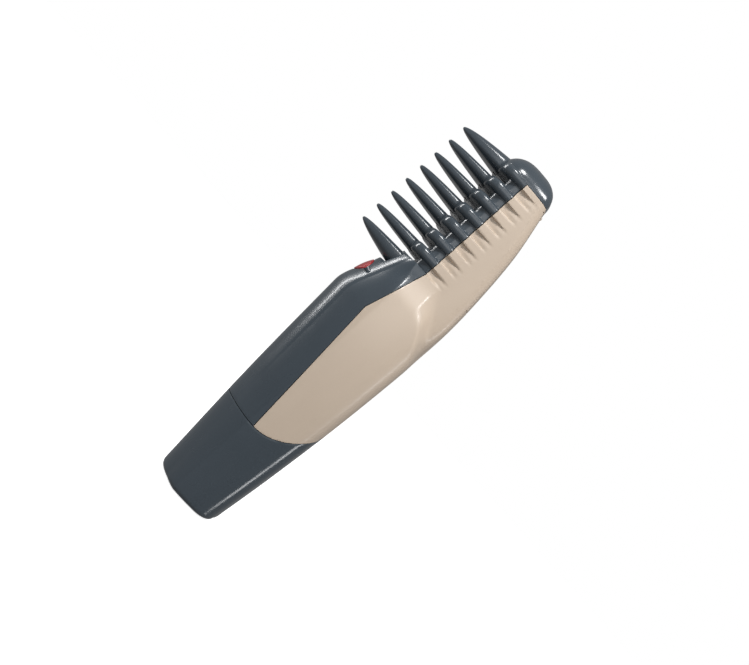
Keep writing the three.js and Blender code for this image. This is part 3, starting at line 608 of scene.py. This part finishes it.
# back shell
backShell = {
    "wall": 2.0,
    "blendTop": 62,            # the rows level out above the cap seam here
    "lowRows": 22,
    "handleRows": 56,
    "headRows": 118,
    "halfPoints": 58,
    "edge": 0.2,
    "deckThick": 1.6,
    "windowHalf": 8.5,
    "bossRadius": 2.6,
    "shellBoss": 3.4,
    "screwWay": 1.5,
    "headWay": 2.5,
    "pinWay": 0.7,
    "pinReach": 7,
    "far": 30,                 # past the back of everything
}
hatch = {
    "half": cad["head_hatch"][1][0],
    "thick": 1.5,
    "seat": 1.9,               # from the surface to the deck under it
    "low": cad["head_hatch"][0][2],
    "high": cad["head_hatch"][1][2],
    "rows": 60,
    "edge": 0.42,
    "earNear": 3.35,
    "earFar": 5.8,
    "knuckle": 1.05,
    "windowLow": 15,           # the opening in the deck, from the hatch's ends
    "windowHigh": 7,
}
pivot = [value / mm for value in joints["hatch_hinge"]["pos_m"]]
combScrewAt = (abs(middle("comb_screw_2")[0]), middle("comb_screw_2")[2])


def backHalf(z):
    # from the seam round to the middle of the back
    _, rest = halfOutline(z)
    _, behind = cutWhere(rest, lambda p: p[1] - (seamAt(z) + body["gap"] / 2))
    return resample(behind, backShell["halfPoints"])


def alongSeam(row, start, heightAt):
    # a row's points at heights that depend on how deep they lie, found by trying again from the last height
    points = []
    for j in range(len(row(start))):
        z = start
        for _ in range(6):
            z = heightAt(row(z)[j][1])
        points.append((*row(z)[j], z))
    return points


def acrossBack(half):
    # a half row from the seam to the middle, continued to the seam on the other side
    return half + [(-x, y, z) for x, y, z in reversed(half[:-1])]


def makeBackShell():
    halfAt = remembered(backHalf)
    rows = []
    for i in range(backShell["lowRows"]):
        share = i / backShell["lowRows"]
        rows.append(acrossBack(alongSeam(halfAt, body["capHeight"] + 10, lambda y: lerp(
            capSeam(y) + body["gap"] / 2, backShell["blendTop"], share))))
    heights = spread(backShell["blendTop"], body["neckEnd"] - 2, backShell["handleRows"])
    heights += spread(body["neckEnd"] - 2, body["headEnd"], backShell["headRows"])[1:]
    rows += [acrossBack([relieved(x, y, z) for x, y in backHalf(z)]) for z in heights]
    piece = gridPiece("backShellSkin", rows)
    faceOutwards(piece)
    thicken(piece, backShell["wall"])
    tidyMesh(piece)
    roundEdges(piece, backShell["edge"], 55)
    return piece


def backSurface(x, z):
    # depth of the back at a height and a distance from the middle
    _, rest = halfOutline(z)
    points = [p for p in rest if p[1] > 2]
    for a, b in zip(points, points[1:]):
        if b[0] <= abs(x) <= a[0]:
            t = (a[0] - abs(x)) / max(a[0] - b[0], 1e-9)
            return lerp(a[1], b[1], t)
    return points[0][1]


def backPlate(name, halfX, low, high, top, bottom, rows, columns=24):
    # a plate that follows the back between two depths under its surface
    upper = [[(x, backSurface(x, z) - top, z) for x in spread(-halfX, halfX, columns)]
             for z in spread(low, high, rows)]
    lower = [[(x, y - (bottom - top), z) for x, y, z in row] for row in upper]
    pieceUp = gridPiece(name, upper)
    pieceDown = gridPiece("under", lower)
    piece = joinAll(name, [pieceUp, pieceDown])
    editAll(piece)
    bpy.ops.mesh.select_all(action="DESELECT")
    bpy.ops.mesh.select_non_manifold()
    bpy.ops.mesh.bridge_edge_loops()
    backToObject()
    tidyMesh(piece)
    return piece


backPiece = makeBackShell()
print("back shell skin:", len(backPiece.data.polygons), "faces")
hatchWay = backPlate("hatchWay", hatch["half"] + body["gap"] + 0.1, hatch["low"] - body["gap"],
                     hatch["high"] + body["gap"], -4, 6, 24)
carve(backPiece, hatchWay)
deck = backPlate("deck", hatch["half"] + 1.4, body["neckEnd"] + 0.7, body["headEnd"] - 0.35,
                 hatch["seat"], hatch["seat"] + backShell["deckThick"], 24)
carve(backPiece, deck, "UNION")
carve(backPiece, block("deckWindow", (-backShell["windowHalf"], 1, hatch["low"] + hatch["windowLow"]),
                       (backShell["windowHalf"], 30, hatch["high"] - hatch["windowHigh"])))
carve(backPiece, bar("knuckleWay", "x", hatch["knuckle"] + 0.4, -hatch["half"] - 0.3,
                     hatch["half"] + 0.3, (0, pivot[1], pivot[2])))
for side in (-1, 1):
    ends = sorted((side * hatch["earNear"], side * hatch["earFar"]))
    carve(backPiece, bar("ear", "x", hatch["knuckle"], ends[0], ends[1], (0, pivot[1], pivot[2])), "UNION")
    carve(backPiece, block("earFoot", (ends[0] + 0.05, pivot[1] - 2.4, pivot[2] - 0.9),
                           (ends[1] - 0.05, pivot[1], pivot[2] + 0.9)), "UNION")
    bossTop = backDepth(combScrewAt[1]) - hatch["seat"] - 0.9
    carve(backPiece, bar("combBoss", "y", backShell["bossRadius"], body["seamHead"] + 0.6, bossTop,
                         (side * combScrewAt[0], 0, combScrewAt[1])), "UNION")
carve(backPiece, bar("pinWay", "x", backShell["pinWay"], -backShell["pinReach"], backShell["pinReach"],
                     (0, pivot[1], pivot[2])))
for side in (-1, 1):
    at = (side * combScrewAt[0], 0, combScrewAt[1])
    headFloor = backDepth(combScrewAt[1]) - 5.2
    carve(backPiece, bar("combScrewWay", "y", backShell["screwWay"], -8, backShell["far"], at))
    carve(backPiece, bar("combHeadWay", "y", backShell["headWay"], headFloor, backShell["far"], at))
for z in screwHeights:
    at = (0, 0, z)
    boss = bar("shellBoss", "y", backShell["shellBoss"], body["seamBend"] + 1.3, backDepth(z) - 1, at)
    carve(backPiece, boss, "UNION")
    carve(backPiece, bar("screwWay", "y", backShell["screwWay"], -9, backShell["far"], at))
    carve(backPiece, bar("headWay", "y", backShell["headWay"], backDepth(z) - 4, backShell["far"], at))
smooth(backPiece, 38)
print("back shell:", len(backPiece.data.polygons), "faces")

hatchPiece = backPlate("headHatch", hatch["half"], hatch["low"], hatch["high"], 0.02, hatch["thick"],
                       hatch["rows"])
roundEdges(hatchPiece, hatch["edge"], 50)
for side in (-1, 1):
    ends = sorted((side * (hatch["earNear"] - 0.3), side * (hatch["earFar"] + 0.3)))
    carve(hatchPiece, block("earWay", (ends[0], 0, pivot[2] - 1.6), (ends[1], 40, pivot[2] + 3)))
carve(hatchPiece, bar("knuckle", "x", hatch["knuckle"], -hatch["earNear"] + 0.3, hatch["earNear"] - 0.3,
                      (0, pivot[1], pivot[2])), "UNION")
carve(hatchPiece, bar("pinWay", "x", backShell["pinWay"], -backShell["pinReach"], backShell["pinReach"],
                      (0, pivot[1], pivot[2])))
smooth(hatchPiece, 38)
print("hatch:", len(hatchPiece.data.polygons), "faces")


# battery cap
batteryCap = {
    "blendLow": 24,            # the rows level out below the cap seam here
    "sideRows": 14,
    "seamRows": 18,
    "baseRows": 9,
    "edge": 0.25,
    "faceDrop": 0.35,          # how far the middle of the flat end lies in
    "faceIn": 2.4,
    "base": 0.02,
}


def ringHalf(z):
    crownPart, rest = halfOutline(z)
    return resample(crownPart, 14) + resample(rest, 76)[1:]


def fullRing(half):
    return closedRow(half + [(-x, *more) for x, *more in reversed(half[1:-1])])


def makeBatteryCap():
    rounding = body["baseRounding"]
    rows = []
    # the flat end, a shallow step round it and the rounded edge
    base = ringHalf(rounding)

    def shrunk(inward, z):
        scaleX = 1 - inward / body["baseHalf"]
        scaleY = 1 - inward / body["baseFront"]
        return fullRing([(x * scaleX, y * scaleY, z) for x, y in base])

    lowest, face = batteryCap["base"], batteryCap["base"] + batteryCap["faceDrop"]
    faceEdge = rounding + batteryCap["faceIn"]
    for share in (0.9995, 0.8, 0.6, 0.4):
        rows.append(shrunk(body["baseHalf"] * share, face))
    rows.append(shrunk(faceEdge + 0.35, face))
    rows.append(shrunk(faceEdge, 0.14))
    rows.append(shrunk(faceEdge - 0.3, lowest))
    for t in spread(0, 1, batteryCap["baseRows"]):
        angle = t * math.pi / 2
        rows.append(shrunk(rounding * (1 - math.sin(angle)), lowest + rounding * (1 - math.cos(angle))))
    for z in spread(rounding, batteryCap["blendLow"], batteryCap["sideRows"])[1:]:
        rows.append(fullRing([(x, y, z) for x, y in ringHalf(z)]))
    halfAt = remembered(ringHalf)
    for i in range(1, batteryCap["seamRows"] + 1):
        share = i / batteryCap["seamRows"]
        rows.append(fullRing(alongSeam(halfAt, 30, lambda y: lerp(
            batteryCap["blendLow"], capSeam(y) - body["gap"] / 2, share))))
    piece = gridPiece("batteryCap", rows, around=True)
    faceOutwards(piece)
    thicken(piece, body["wall"])
    tidyMesh(piece)
    roundEdges(piece, batteryCap["edge"], 55)
    smooth(piece, 38)
    return piece


capPiece = makeBatteryCap()
print("battery cap:", len(capPiece.data.polygons), "faces")


# comb head
combDetail = {
    "ribSteps": 72,
    "ribRound": 1.9,
    "crownTop": -14.6,
    "toothSides": 56,
    "slitLow": -1.2,
    "slitHigh": 1.3,
    "noseRings": 22,
    "footHalf": 6,
    "footBack": -6.5,
    "bossRadius": 2.6,
    "inner": -7.5,             # where guides and bosses start on the floor
    "cavityHalf": 11.8,
    "edge": 0.18,
}
combLow = body["neckEnd"] + body["gap"] / 2
combTop = body["seamHead"] - body["gap"] / 2


def superellipse(angle, power):
    c, s = math.cos(angle), math.sin(angle)
    return math.copysign(abs(c) ** power, c), math.copysign(abs(s) ** power, s)


def makeTooth(index):
    centre = comb["first"] + comb["pitch"] * index
    root = comb["root"] + 1.5
    lowThick = comb["endOuter"] if index == 0 else comb["halfThick"]
    highThick = comb["endOuter"] if index == comb["count"] - 1 else comb["halfThick"]
    rows = []
    shares = [0, 0.06, 0.12, 0.2, 0.3, 0.4, 0.5, 0.6, 0.69, 0.77, 0.84, 0.9, 0.94, 0.97, 0.985, 0.994, 0.9985]
    for share in shares:
        y = lerp(root, comb["tip"], share)
        left = max(1 - (comb["root"] - y) / (comb["root"] - comb["tip"]), 0.0008)
        halfX = comb["halfWidth"] * min(left, 1.05) ** 0.65
        row = []
        for k in range(combDetail["toothSides"]):
            u, v = superellipse(2 * math.pi * k / combDetail["toothSides"], 0.72)
            thick = lowThick if v < 0 else highThick
            power = 0.6 if thick > comb["halfThick"] else 0.36
            row.append((halfX * u, y, centre + thick * left ** power * v))
        rows.append(row)
    return closedTube(f"tooth{index}", rows)


def squareArch(theta, wide, tall, power):
    # distance from the foot of an arch to the arch, at an angle from its side
    c, s = abs(math.cos(theta)), abs(math.sin(theta))
    return ((c / wide) ** power + (s / tall) ** power) ** (-1 / power)


def makeRib(centre, halfIn, halfOut, name):
    wide, tall = body["headHalf"] - body["skinIn"], combTop - combDetail["crownTop"]
    rows = []
    for theta in spread(0, math.pi, combDetail["ribSteps"]):
        outward = abs(math.cos(theta)) ** 0.7
        half = lerp(halfIn, halfOut, outward)
        round_ = min(combDetail["ribRound"], half - 0.1)
        radius = squareArch(theta, wide, tall, 4)
        profile = [(3, -half)]
        for t in spread(0, 1, 7):
            angle = t * math.pi / 2
            profile.append((radius - round_ * (1 - math.sin(angle)), -half + round_ * (1 - math.cos(angle))))
        profile += [(r, -z) for r, z in reversed(profile)]
        rows.append([(r * math.cos(theta), combTop - r * math.sin(theta), centre + z) for r, z in profile])
    return closedTube(name, rows)


def makeCore():
    # the recessed block behind the ribs, with its slot floors rounded over at the sides
    wide, floor_ = body["headHalf"] - comb["panelIn"], comb["slotFloor"]
    outline = [(wide, combTop)]
    radius = 5.0
    for t in spread(0, 1, 12):
        angle = t * math.pi / 2
        outline.append((wide - radius + radius * math.cos(angle), floor_ + radius - radius * math.sin(angle)))
    outline += [(-x, y) for x, y in reversed(outline)]
    return closedTube("combCore", [[(x, y, z) for x, y in outline] for z in (combLow, body["headEnd"] + 1)])


def noseSection(z):
    # full section of the head at its end: crowned front, straight sides, rounded back
    crownPart = []
    wide = body["headHalf"] - body["skinIn"]
    tall = comb["front"] - 0.3
    for t in spread(0, 1, 30):
        theta = (1 - t) * math.pi / 2
        r = squareArch(theta, wide, tall, 3.2)
        crownPart.append((r * math.cos(theta), -r * math.sin(theta)))
    _, rest = halfOutline(z)
    behind = [p for p in rest if p[1] > 0.5]
    return resample(crownPart, 34) + resample([crownPart[-1]] + behind, 44)[1:]


def makeNose():
    start = body["headEnd"] + body["gap"] / 2
    length = comb["noseLength"]
    section = noseSection(body["headEnd"])
    ring = section + [(-x, y) for x, y in reversed(section[1:-1])]
    centreY = (body["headBack"] - comb["front"]) / 2
    rows = [[(x, y, start) for x, y in ring]]
    for t in spread(0, 1, combDetail["noseRings"])[1:]:
        across = math.sin(t * 0.9995 * math.pi / 2)
        narrow, shallow = ((1 - across**power) ** (1 / power) for power in (2.05, 2.1))
        z = start + length * across
        rows.append([(x * narrow, centreY + (y - centreY) * shallow, z) for x, y in ring])
    return closedTube("nose", rows)


def makeCombHead():
    piece = makeCore()
    for index in range(1, comb["count"]):
        centre = comb["first"] + comb["pitch"] * index
        carve(piece, makeRib(centre, comb["halfThick"] - 0.1, comb["ribHalf"], f"rib{index}"), "UNION")
    carve(piece, makeNose(), "UNION")
    footHalf, footBack = combDetail["footHalf"], combDetail["footBack"]
    carve(piece, block("foot", (-footHalf, comb["root"] - 0.5, comb["first"] - 4),
                       (footHalf, footBack, combLow + 0.05)), "UNION")
    carve(piece, block("footFloor", (-footHalf, comb["slotFloor"], comb["first"] - 2),
                       (footHalf, footBack, combLow + 4)), "UNION")
    for index in range(comb["count"]):
        carve(piece, makeTooth(index), "UNION")
    roundEdges(piece, combDetail["edge"], 40, 2)
    return piece


combPiece = makeCombHead()
print("comb head joined:", len(combPiece.data.polygons), "faces")
carve(combPiece, block("cavity", (-combDetail["cavityHalf"], combDetail["footBack"], combLow + 2),
                       (combDetail["cavityHalf"], 0, body["headEnd"] - 1.5)))
for side, near in ((-1, combDetail["slitLow"]), (1, combDetail["slitHigh"])):
    ends = sorted((near, side * 3.4))
    at = (side * combScrewAt[0], 0, combScrewAt[1])
    carve(combPiece, block("guide", (ends[0], combDetail["inner"], 131),
                           (ends[1], cad["fixed_blade"][1][1] + 0.3, 179)), "UNION")
    carve(combPiece, bar("boss", "y", combDetail["bossRadius"], combDetail["inner"], combTop, at), "UNION")
    carve(combPiece, bar("bossWay", "y", backShell["screwWay"], -7.2, 10, at))
lastTooth = comb["first"] + comb["pitch"] * (comb["count"] - 1)
carve(combPiece, block("slit", (combDetail["slitLow"], comb["root"] - 0.3, comb["first"] - 2.7),
                       (combDetail["slitHigh"], 0, lastTooth + 2.7)))
carve(combPiece, block("tailWay", (combDetail["slitLow"], comb["slotFloor"] - 0.1, 100),
                       (combDetail["slitHigh"], 0, comb["first"])))
for name in ("blade_screw_1", "blade_screw_2"):
    carve(combPiece, bar("bladeScrewWay", "x", 1.1, -6, 6, (0, *middle(name)[1:])))
smooth(combPiece, 40)
print("comb head:", len(combPiece.data.polygons), "faces")


# materials
class Value:
    # a socket that can be used in sums
    def __init__(self, tree, socket):
        self.tree = tree
        self.socket = socket

    def math(self, operation, other, swapped=False):
        pair = [other, self] if swapped else [self, other]
        return self.tree.node("ShaderNodeMath", {"operation": operation}, {0: pair[0], 1: pair[1]})

    def __add__(self, other):
        return self.math("ADD", other)

    def __radd__(self, other):
        return self.math("ADD", other, True)

    def __mul__(self, other):
        return self.math("MULTIPLY", other)

    def __rmul__(self, other):
        return self.math("MULTIPLY", other, True)


class Tree:
    # makes the nodes of a material or of the surroundings
    def __init__(self, tree):
        self.nodes = tree.nodes
        self.links = tree.links

    def give(self, socket, value):
        if isinstance(value, Value):
            self.links.new(value.socket, socket)
        else:
            socket.default_value = (*value, 1) if socket.type == "RGBA" else value

    def node(self, kind, settings, values, output=0):
        made = self.nodes.new(kind)
        for key, value in settings.items():
            setattr(made, key, value)
        for key, value in values.items():
            self.give(made.inputs[key], value)
        return Value(self, made.outputs[output])


class Finish(Tree):
    # a material and the nodes that make it
    def __init__(self, name):
        self.material = bpy.data.materials.new(name)
        self.material.use_nodes = True
        super().__init__(self.material.node_tree)
        self.shader = self.nodes["Principled BSDF"]
        self.coords = self.node("ShaderNodeTexCoord", {}, {}, "Object")

    def noise(self, scale, detail=2.0, roughness=0.5, stretch=None):
        vector = self.coords
        if stretch:
            vector = self.node("ShaderNodeMapping", {}, {"Vector": self.coords, "Scale": stretch}, "Vector")
        values = {"Vector": vector, "Scale": scale, "Detail": detail, "Roughness": roughness}
        return self.node("ShaderNodeTexNoise", {}, values, "Fac")

    def between(self, value, low, high, start=0.0, end=1.0):
        values = {"Value": value, "From Min": low, "From Max": high, "To Min": start, "To Max": end}
        return self.node("ShaderNodeMapRange", {"clamp": True}, values, "Result")

    def blend(self, mask, a, b):
        return self.node("ShaderNodeMix", {"data_type": "RGBA"}, {0: mask, 6: a, 7: b}, 2)

    def edges(self, low, high):
        # 1 on outer edges, 0 on flats
        pointiness = self.node("ShaderNodeNewGeometry", {}, {}, "Pointiness")
        return self.between(pointiness, low, high)

    def bump(self, height, strength, distance):
        values = {"Height": height, "Strength": strength, "Distance": distance}
        self.give(self.shader.inputs["Normal"], self.node("ShaderNodeBump", {}, values, "Normal"))

    def set(self, **values):
        for key, value in values.items():
            self.give(self.shader.inputs[key.replace("_", " ")], value)
        return self.material


def mouldedPlastic(name, look):
    # gloss plastic: fine moulded grain, slight flow marks, soft wear on edges, dulled patches from handling
    finish = Finish(name)
    flow = finish.noise(34, 3, 0.55, (1, 1, 0.35))
    speckle = finish.noise(1500, 2, 0.6)
    base = finish.blend(finish.between(flow, 0.32, 0.68), look["dark"], look["light"])
    base = finish.blend(finish.between(speckle, 0.55, 0.8, 0, look["speckle"]), base, look["fleck"])
    wear = finish.edges(0.515, 0.60) * finish.between(finish.noise(160, 4, 0.6), 0.35, 0.62)
    base = finish.blend(wear * look["wear"], base, look["worn"])
    handled = finish.between(finish.noise(52, 4, 0.6), 0.4, 0.66)
    scuffs = finish.between(finish.noise(420, 3, 0.55, (1, 1, 0.08)), 0.62, 0.74)
    rough = look["rough"] + look["handled"] * handled + 0.06 * scuffs + 0.05 * wear
    grain = finish.noise(look["grain"], 2, 0.5)
    orange = finish.noise(170, 2, 0.5)
    finish.bump(grain + 2.2 * orange, look["bump"], 0.00006)
    return finish.set(Base_Color=base, Roughness=rough, IOR=1.49, Coat_Weight=look["coat"],
                      Coat_Roughness=0.12)


greyLook = {"dark": (0.040, 0.053, 0.066), "light": (0.050, 0.065, 0.080), "fleck": (0.075, 0.092, 0.108),
            "worn": (0.13, 0.15, 0.165), "speckle": 0.25, "wear": 0.35, "rough": 0.24, "handled": 0.08,
            "grain": 2400, "bump": 0.28, "coat": 0.25}
combLook = dict(greyLook, dark=(0.044, 0.056, 0.068), light=(0.056, 0.070, 0.084), rough=0.20, coat=0.35)
beigeLook = {"dark": (0.520, 0.425, 0.335), "light": (0.570, 0.470, 0.375), "fleck": (0.64, 0.54, 0.44),
             "worn": (0.70, 0.61, 0.52), "speckle": 0.2, "wear": 0.25, "rough": 0.36, "handled": 0.07,
             "grain": 2100, "bump": 0.30, "coat": 0.12}
redLook = {"dark": (0.33, 0.030, 0.034), "light": (0.42, 0.042, 0.044), "fleck": (0.5, 0.07, 0.07),
           "worn": (0.55, 0.14, 0.13), "speckle": 0.15, "wear": 0.2, "rough": 0.28, "handled": 0.06,
           "grain": 2200, "bump": 0.25, "coat": 0.2}
blackLook = {"dark": (0.010, 0.010, 0.011), "light": (0.017, 0.017, 0.018), "fleck": (0.03, 0.03, 0.03),
             "worn": (0.06, 0.06, 0.06), "speckle": 0.2, "wear": 0.3, "rough": 0.42, "handled": 0.08,
             "grain": 2000, "bump": 0.3, "coat": 0.0}
nylonLook = {"dark": (0.70, 0.67, 0.60), "light": (0.78, 0.75, 0.68), "fleck": (0.82, 0.8, 0.74),
             "worn": (0.6, 0.57, 0.5), "speckle": 0.15, "wear": 0.2, "rough": 0.40, "handled": 0.06,
             "grain": 1800, "bump": 0.25, "coat": 0.0}


def brushedMetal(name, look):
    # metal with fine lines along one direction, faint stains and brighter rubbed edges
    finish = Finish(name)
    lines = finish.noise(look["lineScale"], 3, 0.6, look["lineStretch"])
    stain = finish.between(finish.noise(90, 4, 0.6), 0.42, 0.7)
    base = finish.blend(stain * 0.5, look["color"], look["stain"])
    base = finish.blend(finish.edges(0.51, 0.58) * 0.5, base, look["bright"])
    rough = look["rough"] + 0.14 * lines + 0.1 * stain
    finish.bump(lines, look["bump"], 0.00003)
    return finish.set(Base_Color=base, Roughness=rough, Metallic=1.0)


def cellJacket(name):
    # printed shrink sleeve of a plain cell: green with a light band above and bare metal at its top
    finish = Finish(name)
    split = finish.node("ShaderNodeSeparateXYZ", {}, {"Vector": finish.coords}, "Z")
    bottom, topEnd = cad["battery_left"][0][2] * mm, cad["battery_left"][1][2] * mm
    bandLow = finish.between(split, bottom + 0.034, bottom + 0.0342)
    band = bandLow * finish.between(split, topEnd - 0.006, topEnd - 0.0062)
    wrinkle = finish.noise(300, 3, 0.5, (1, 1, 0.2))
    base = finish.blend(finish.between(wrinkle, 0.3, 0.7), (0.035, 0.16, 0.07), (0.05, 0.20, 0.09))
    base = finish.blend(band, base, (0.62, 0.62, 0.58))
    capEnds = finish.between(split, topEnd - 0.0021, topEnd - 0.0019)
    base = finish.blend(capEnds, base, (0.5, 0.5, 0.5))
    finish.bump(wrinkle, 0.2, 0.0001)
    return finish.set(Base_Color=base, Roughness=0.28 + 0.12 * wrinkle, Metallic=0.15 + 0.6 * capEnds)


def circuitBoard(name):
    # green board with a faint weave and lighter tracks
    finish = Finish(name)
    weave = finish.noise(1600, 2, 0.5)
    tracks = finish.between(finish.noise(420, 0, 0.0, (0.25, 1, 1)), 0.56, 0.58)
    base = finish.blend(finish.between(weave, 0.3, 0.7), (0.014, 0.09, 0.035), (0.02, 0.12, 0.05))
    base = finish.blend(tracks * 0.6, base, (0.05, 0.25, 0.10))
    finish.bump(weave + 2 * tracks, 0.3, 0.00005)
    return finish.set(Base_Color=base, Roughness=0.38 + 0.15 * weave)


steelLook = {"lineScale": 900, "lineStretch": (1, 1, 0.06), "color": (0.36, 0.37, 0.38),
             "stain": (0.26, 0.26, 0.25), "bright": (0.55, 0.56, 0.57), "rough": 0.28, "bump": 0.12}
zincLook = {"lineScale": 700, "lineStretch": (0.2, 1, 1), "color": (0.50, 0.51, 0.52),
            "stain": (0.38, 0.38, 0.37), "bright": (0.72, 0.73, 0.74), "rough": 0.26, "bump": 0.3}

finishes = {
    "shell_grey": mouldedPlastic("greyPlastic", greyLook),
    "comb_grey": mouldedPlastic("combPlastic", combLook),
    "shell_beige": mouldedPlastic("beigePlastic", beigeLook),
    "button_red": mouldedPlastic("redPlastic", redLook),
    "black_plastic": mouldedPlastic("blackPlastic", blackLook),
    "white_nylon": mouldedPlastic("whiteNylon", nylonLook),
    "steel": brushedMetal("steel", steelLook),
    "zinc": brushedMetal("zinc", zincLook),
    "board_green": circuitBoard("circuitBoard"),
    "cell_jacket": cellJacket("cellJacket"),
    "red_wire": mouldedPlastic("redWire", dict(redLook, rough=0.4, coat=0.0)),
    "black_wire": mouldedPlastic("blackWire", blackLook),
}
print("materials:", len(finishes))

for part in frame["record"]["subparts"]:
    nodeMesh = frame["nodes"][part["node"]].data
    nodeMesh.materials.clear()
    nodeMesh.materials.append(finishes[part["material_slot"]])


def place(piece, bodyName, slotName, *nodeNames):
    piece.data.materials.clear()
    piece.data.materials.append(finishes[slotName])
    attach(piece, bodyName)
    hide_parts(*nodeNames)


place(frontPiece, "casing", "shell_grey", "front_shell")
place(backPiece, "casing", "shell_beige", "back_shell")
place(capPiece, "cap", "shell_grey", "battery_cap")
place(combPiece, "casing", "comb_grey", "comb_head")
place(hatchPiece, "hatch", "shell_beige", "head_hatch")
place(buttonPiece, "button", "button_red", "power_button")
print("finishes set")


# camera, light and floor
studio = {
    "target": (0, 2.4, 98.2),
    "distance": 336,
    "lower": 4.5,              # degrees below the side-on view, towards the teeth
    "tilt": 41.5,              # degrees that the handle's axis stands above the horizontal in view
    "lens": 40,
    "floorDrop": 0.3,
    "floorSize": 6,            # metres
    "ambient": 0.26,           # light from all round, against the white that the camera sees
}
angle = math.radians(studio["lower"])
tilt = math.radians(studio["tilt"])
target = Vector(studio["target"]) * mm
outward = Vector((math.cos(angle), -math.sin(angle), 0))
up = Vector((0, 0, 1)) * math.sin(tilt) + Vector((0, -1, 0)) * math.cos(tilt)
up = (up - outward * up.dot(outward)).normalized()
side = up.cross(outward)
letGo()
bpy.ops.object.camera_add()
camera = bpy.context.object
camera.name = "camera"
turn = Matrix((side, up, outward)).transposed().to_4x4()
camera.matrix_world = Matrix.Translation(target + outward * studio["distance"] * mm) @ turn
camera.data.lens = studio["lens"]
camera.data.sensor_width = 36
camera.data.clip_start = 0.01
camera.data.clip_end = 20
bpy.context.scene.camera = camera


def softLight(name, direction, distance, size, power):
    # an area light that looks at the middle of the object from a direction in the object's own frame
    letGo()
    spot = target + Vector(direction).normalized() * distance
    bpy.ops.object.light_add(type="AREA", location=spot)
    light = bpy.context.object
    light.name = name
    light.rotation_euler = (spot - target).to_track_quat("Z", "Y").to_euler()
    light.data.shape = "RECTANGLE"
    light.data.size, light.data.size_y = size
    light.data.energy = power


softLight("crownStrip", (-0.32, -1.0, 0.25), 0.7, (0.05, 0.5), 1.9)
softLight("backStrip", (0.3, 1.0, -0.2), 0.7, (0.12, 0.5), 2.0)
softLight("noseHigh", (0.75, -0.35, 1.0), 0.8, (0.17, 0.17), 3.2)
softLight("noseLow", (0.8, 0.35, 1.0), 0.8, (0.17, 0.17), 2.8)
softLight("fill", (1.0, -0.1, 0.3), 1.2, (0.9, 0.6), 2.2)

letGo()
bpy.ops.mesh.primitive_plane_add(size=studio["floorSize"], location=(0, 0, -studio["floorDrop"] * mm))
floorPlane = bpy.context.object
floorPlane.name = "floor"
paper = Finish("paleFloor")
paperTone = paper.between(paper.noise(3, 2, 0.5), 0.3, 0.7, 0.93, 0.96)
paper.set(Base_Color=paper.blend(paperTone, (0.8, 0.8, 0.8), (0.95, 0.95, 0.95)), Roughness=0.9,
          Emission_Color=(1, 1, 1), Emission_Strength=0.8)
floorPlane.data.materials.append(paper.material)
floorPlane.visible_diffuse = False
floorPlane.visible_glossy = False

world = bpy.data.worlds.new("paleStudio")
bpy.context.scene.world = world
world.use_nodes = True
sky = Tree(world.node_tree)
isCamera = sky.node("ShaderNodeLightPath", {}, {}, "Is Camera Ray")
shares = {"Value": isCamera, "To Min": studio["ambient"], "To Max": 1}
strength = sky.node("ShaderNodeMapRange", {}, shares, "Result")
background = sky.nodes["Background"]
sky.give(background.inputs["Color"], (1, 1, 1))
sky.give(background.inputs["Strength"], strength)
bpy.context.scene.view_settings.view_transform = "Standard"
print("camera and light set")
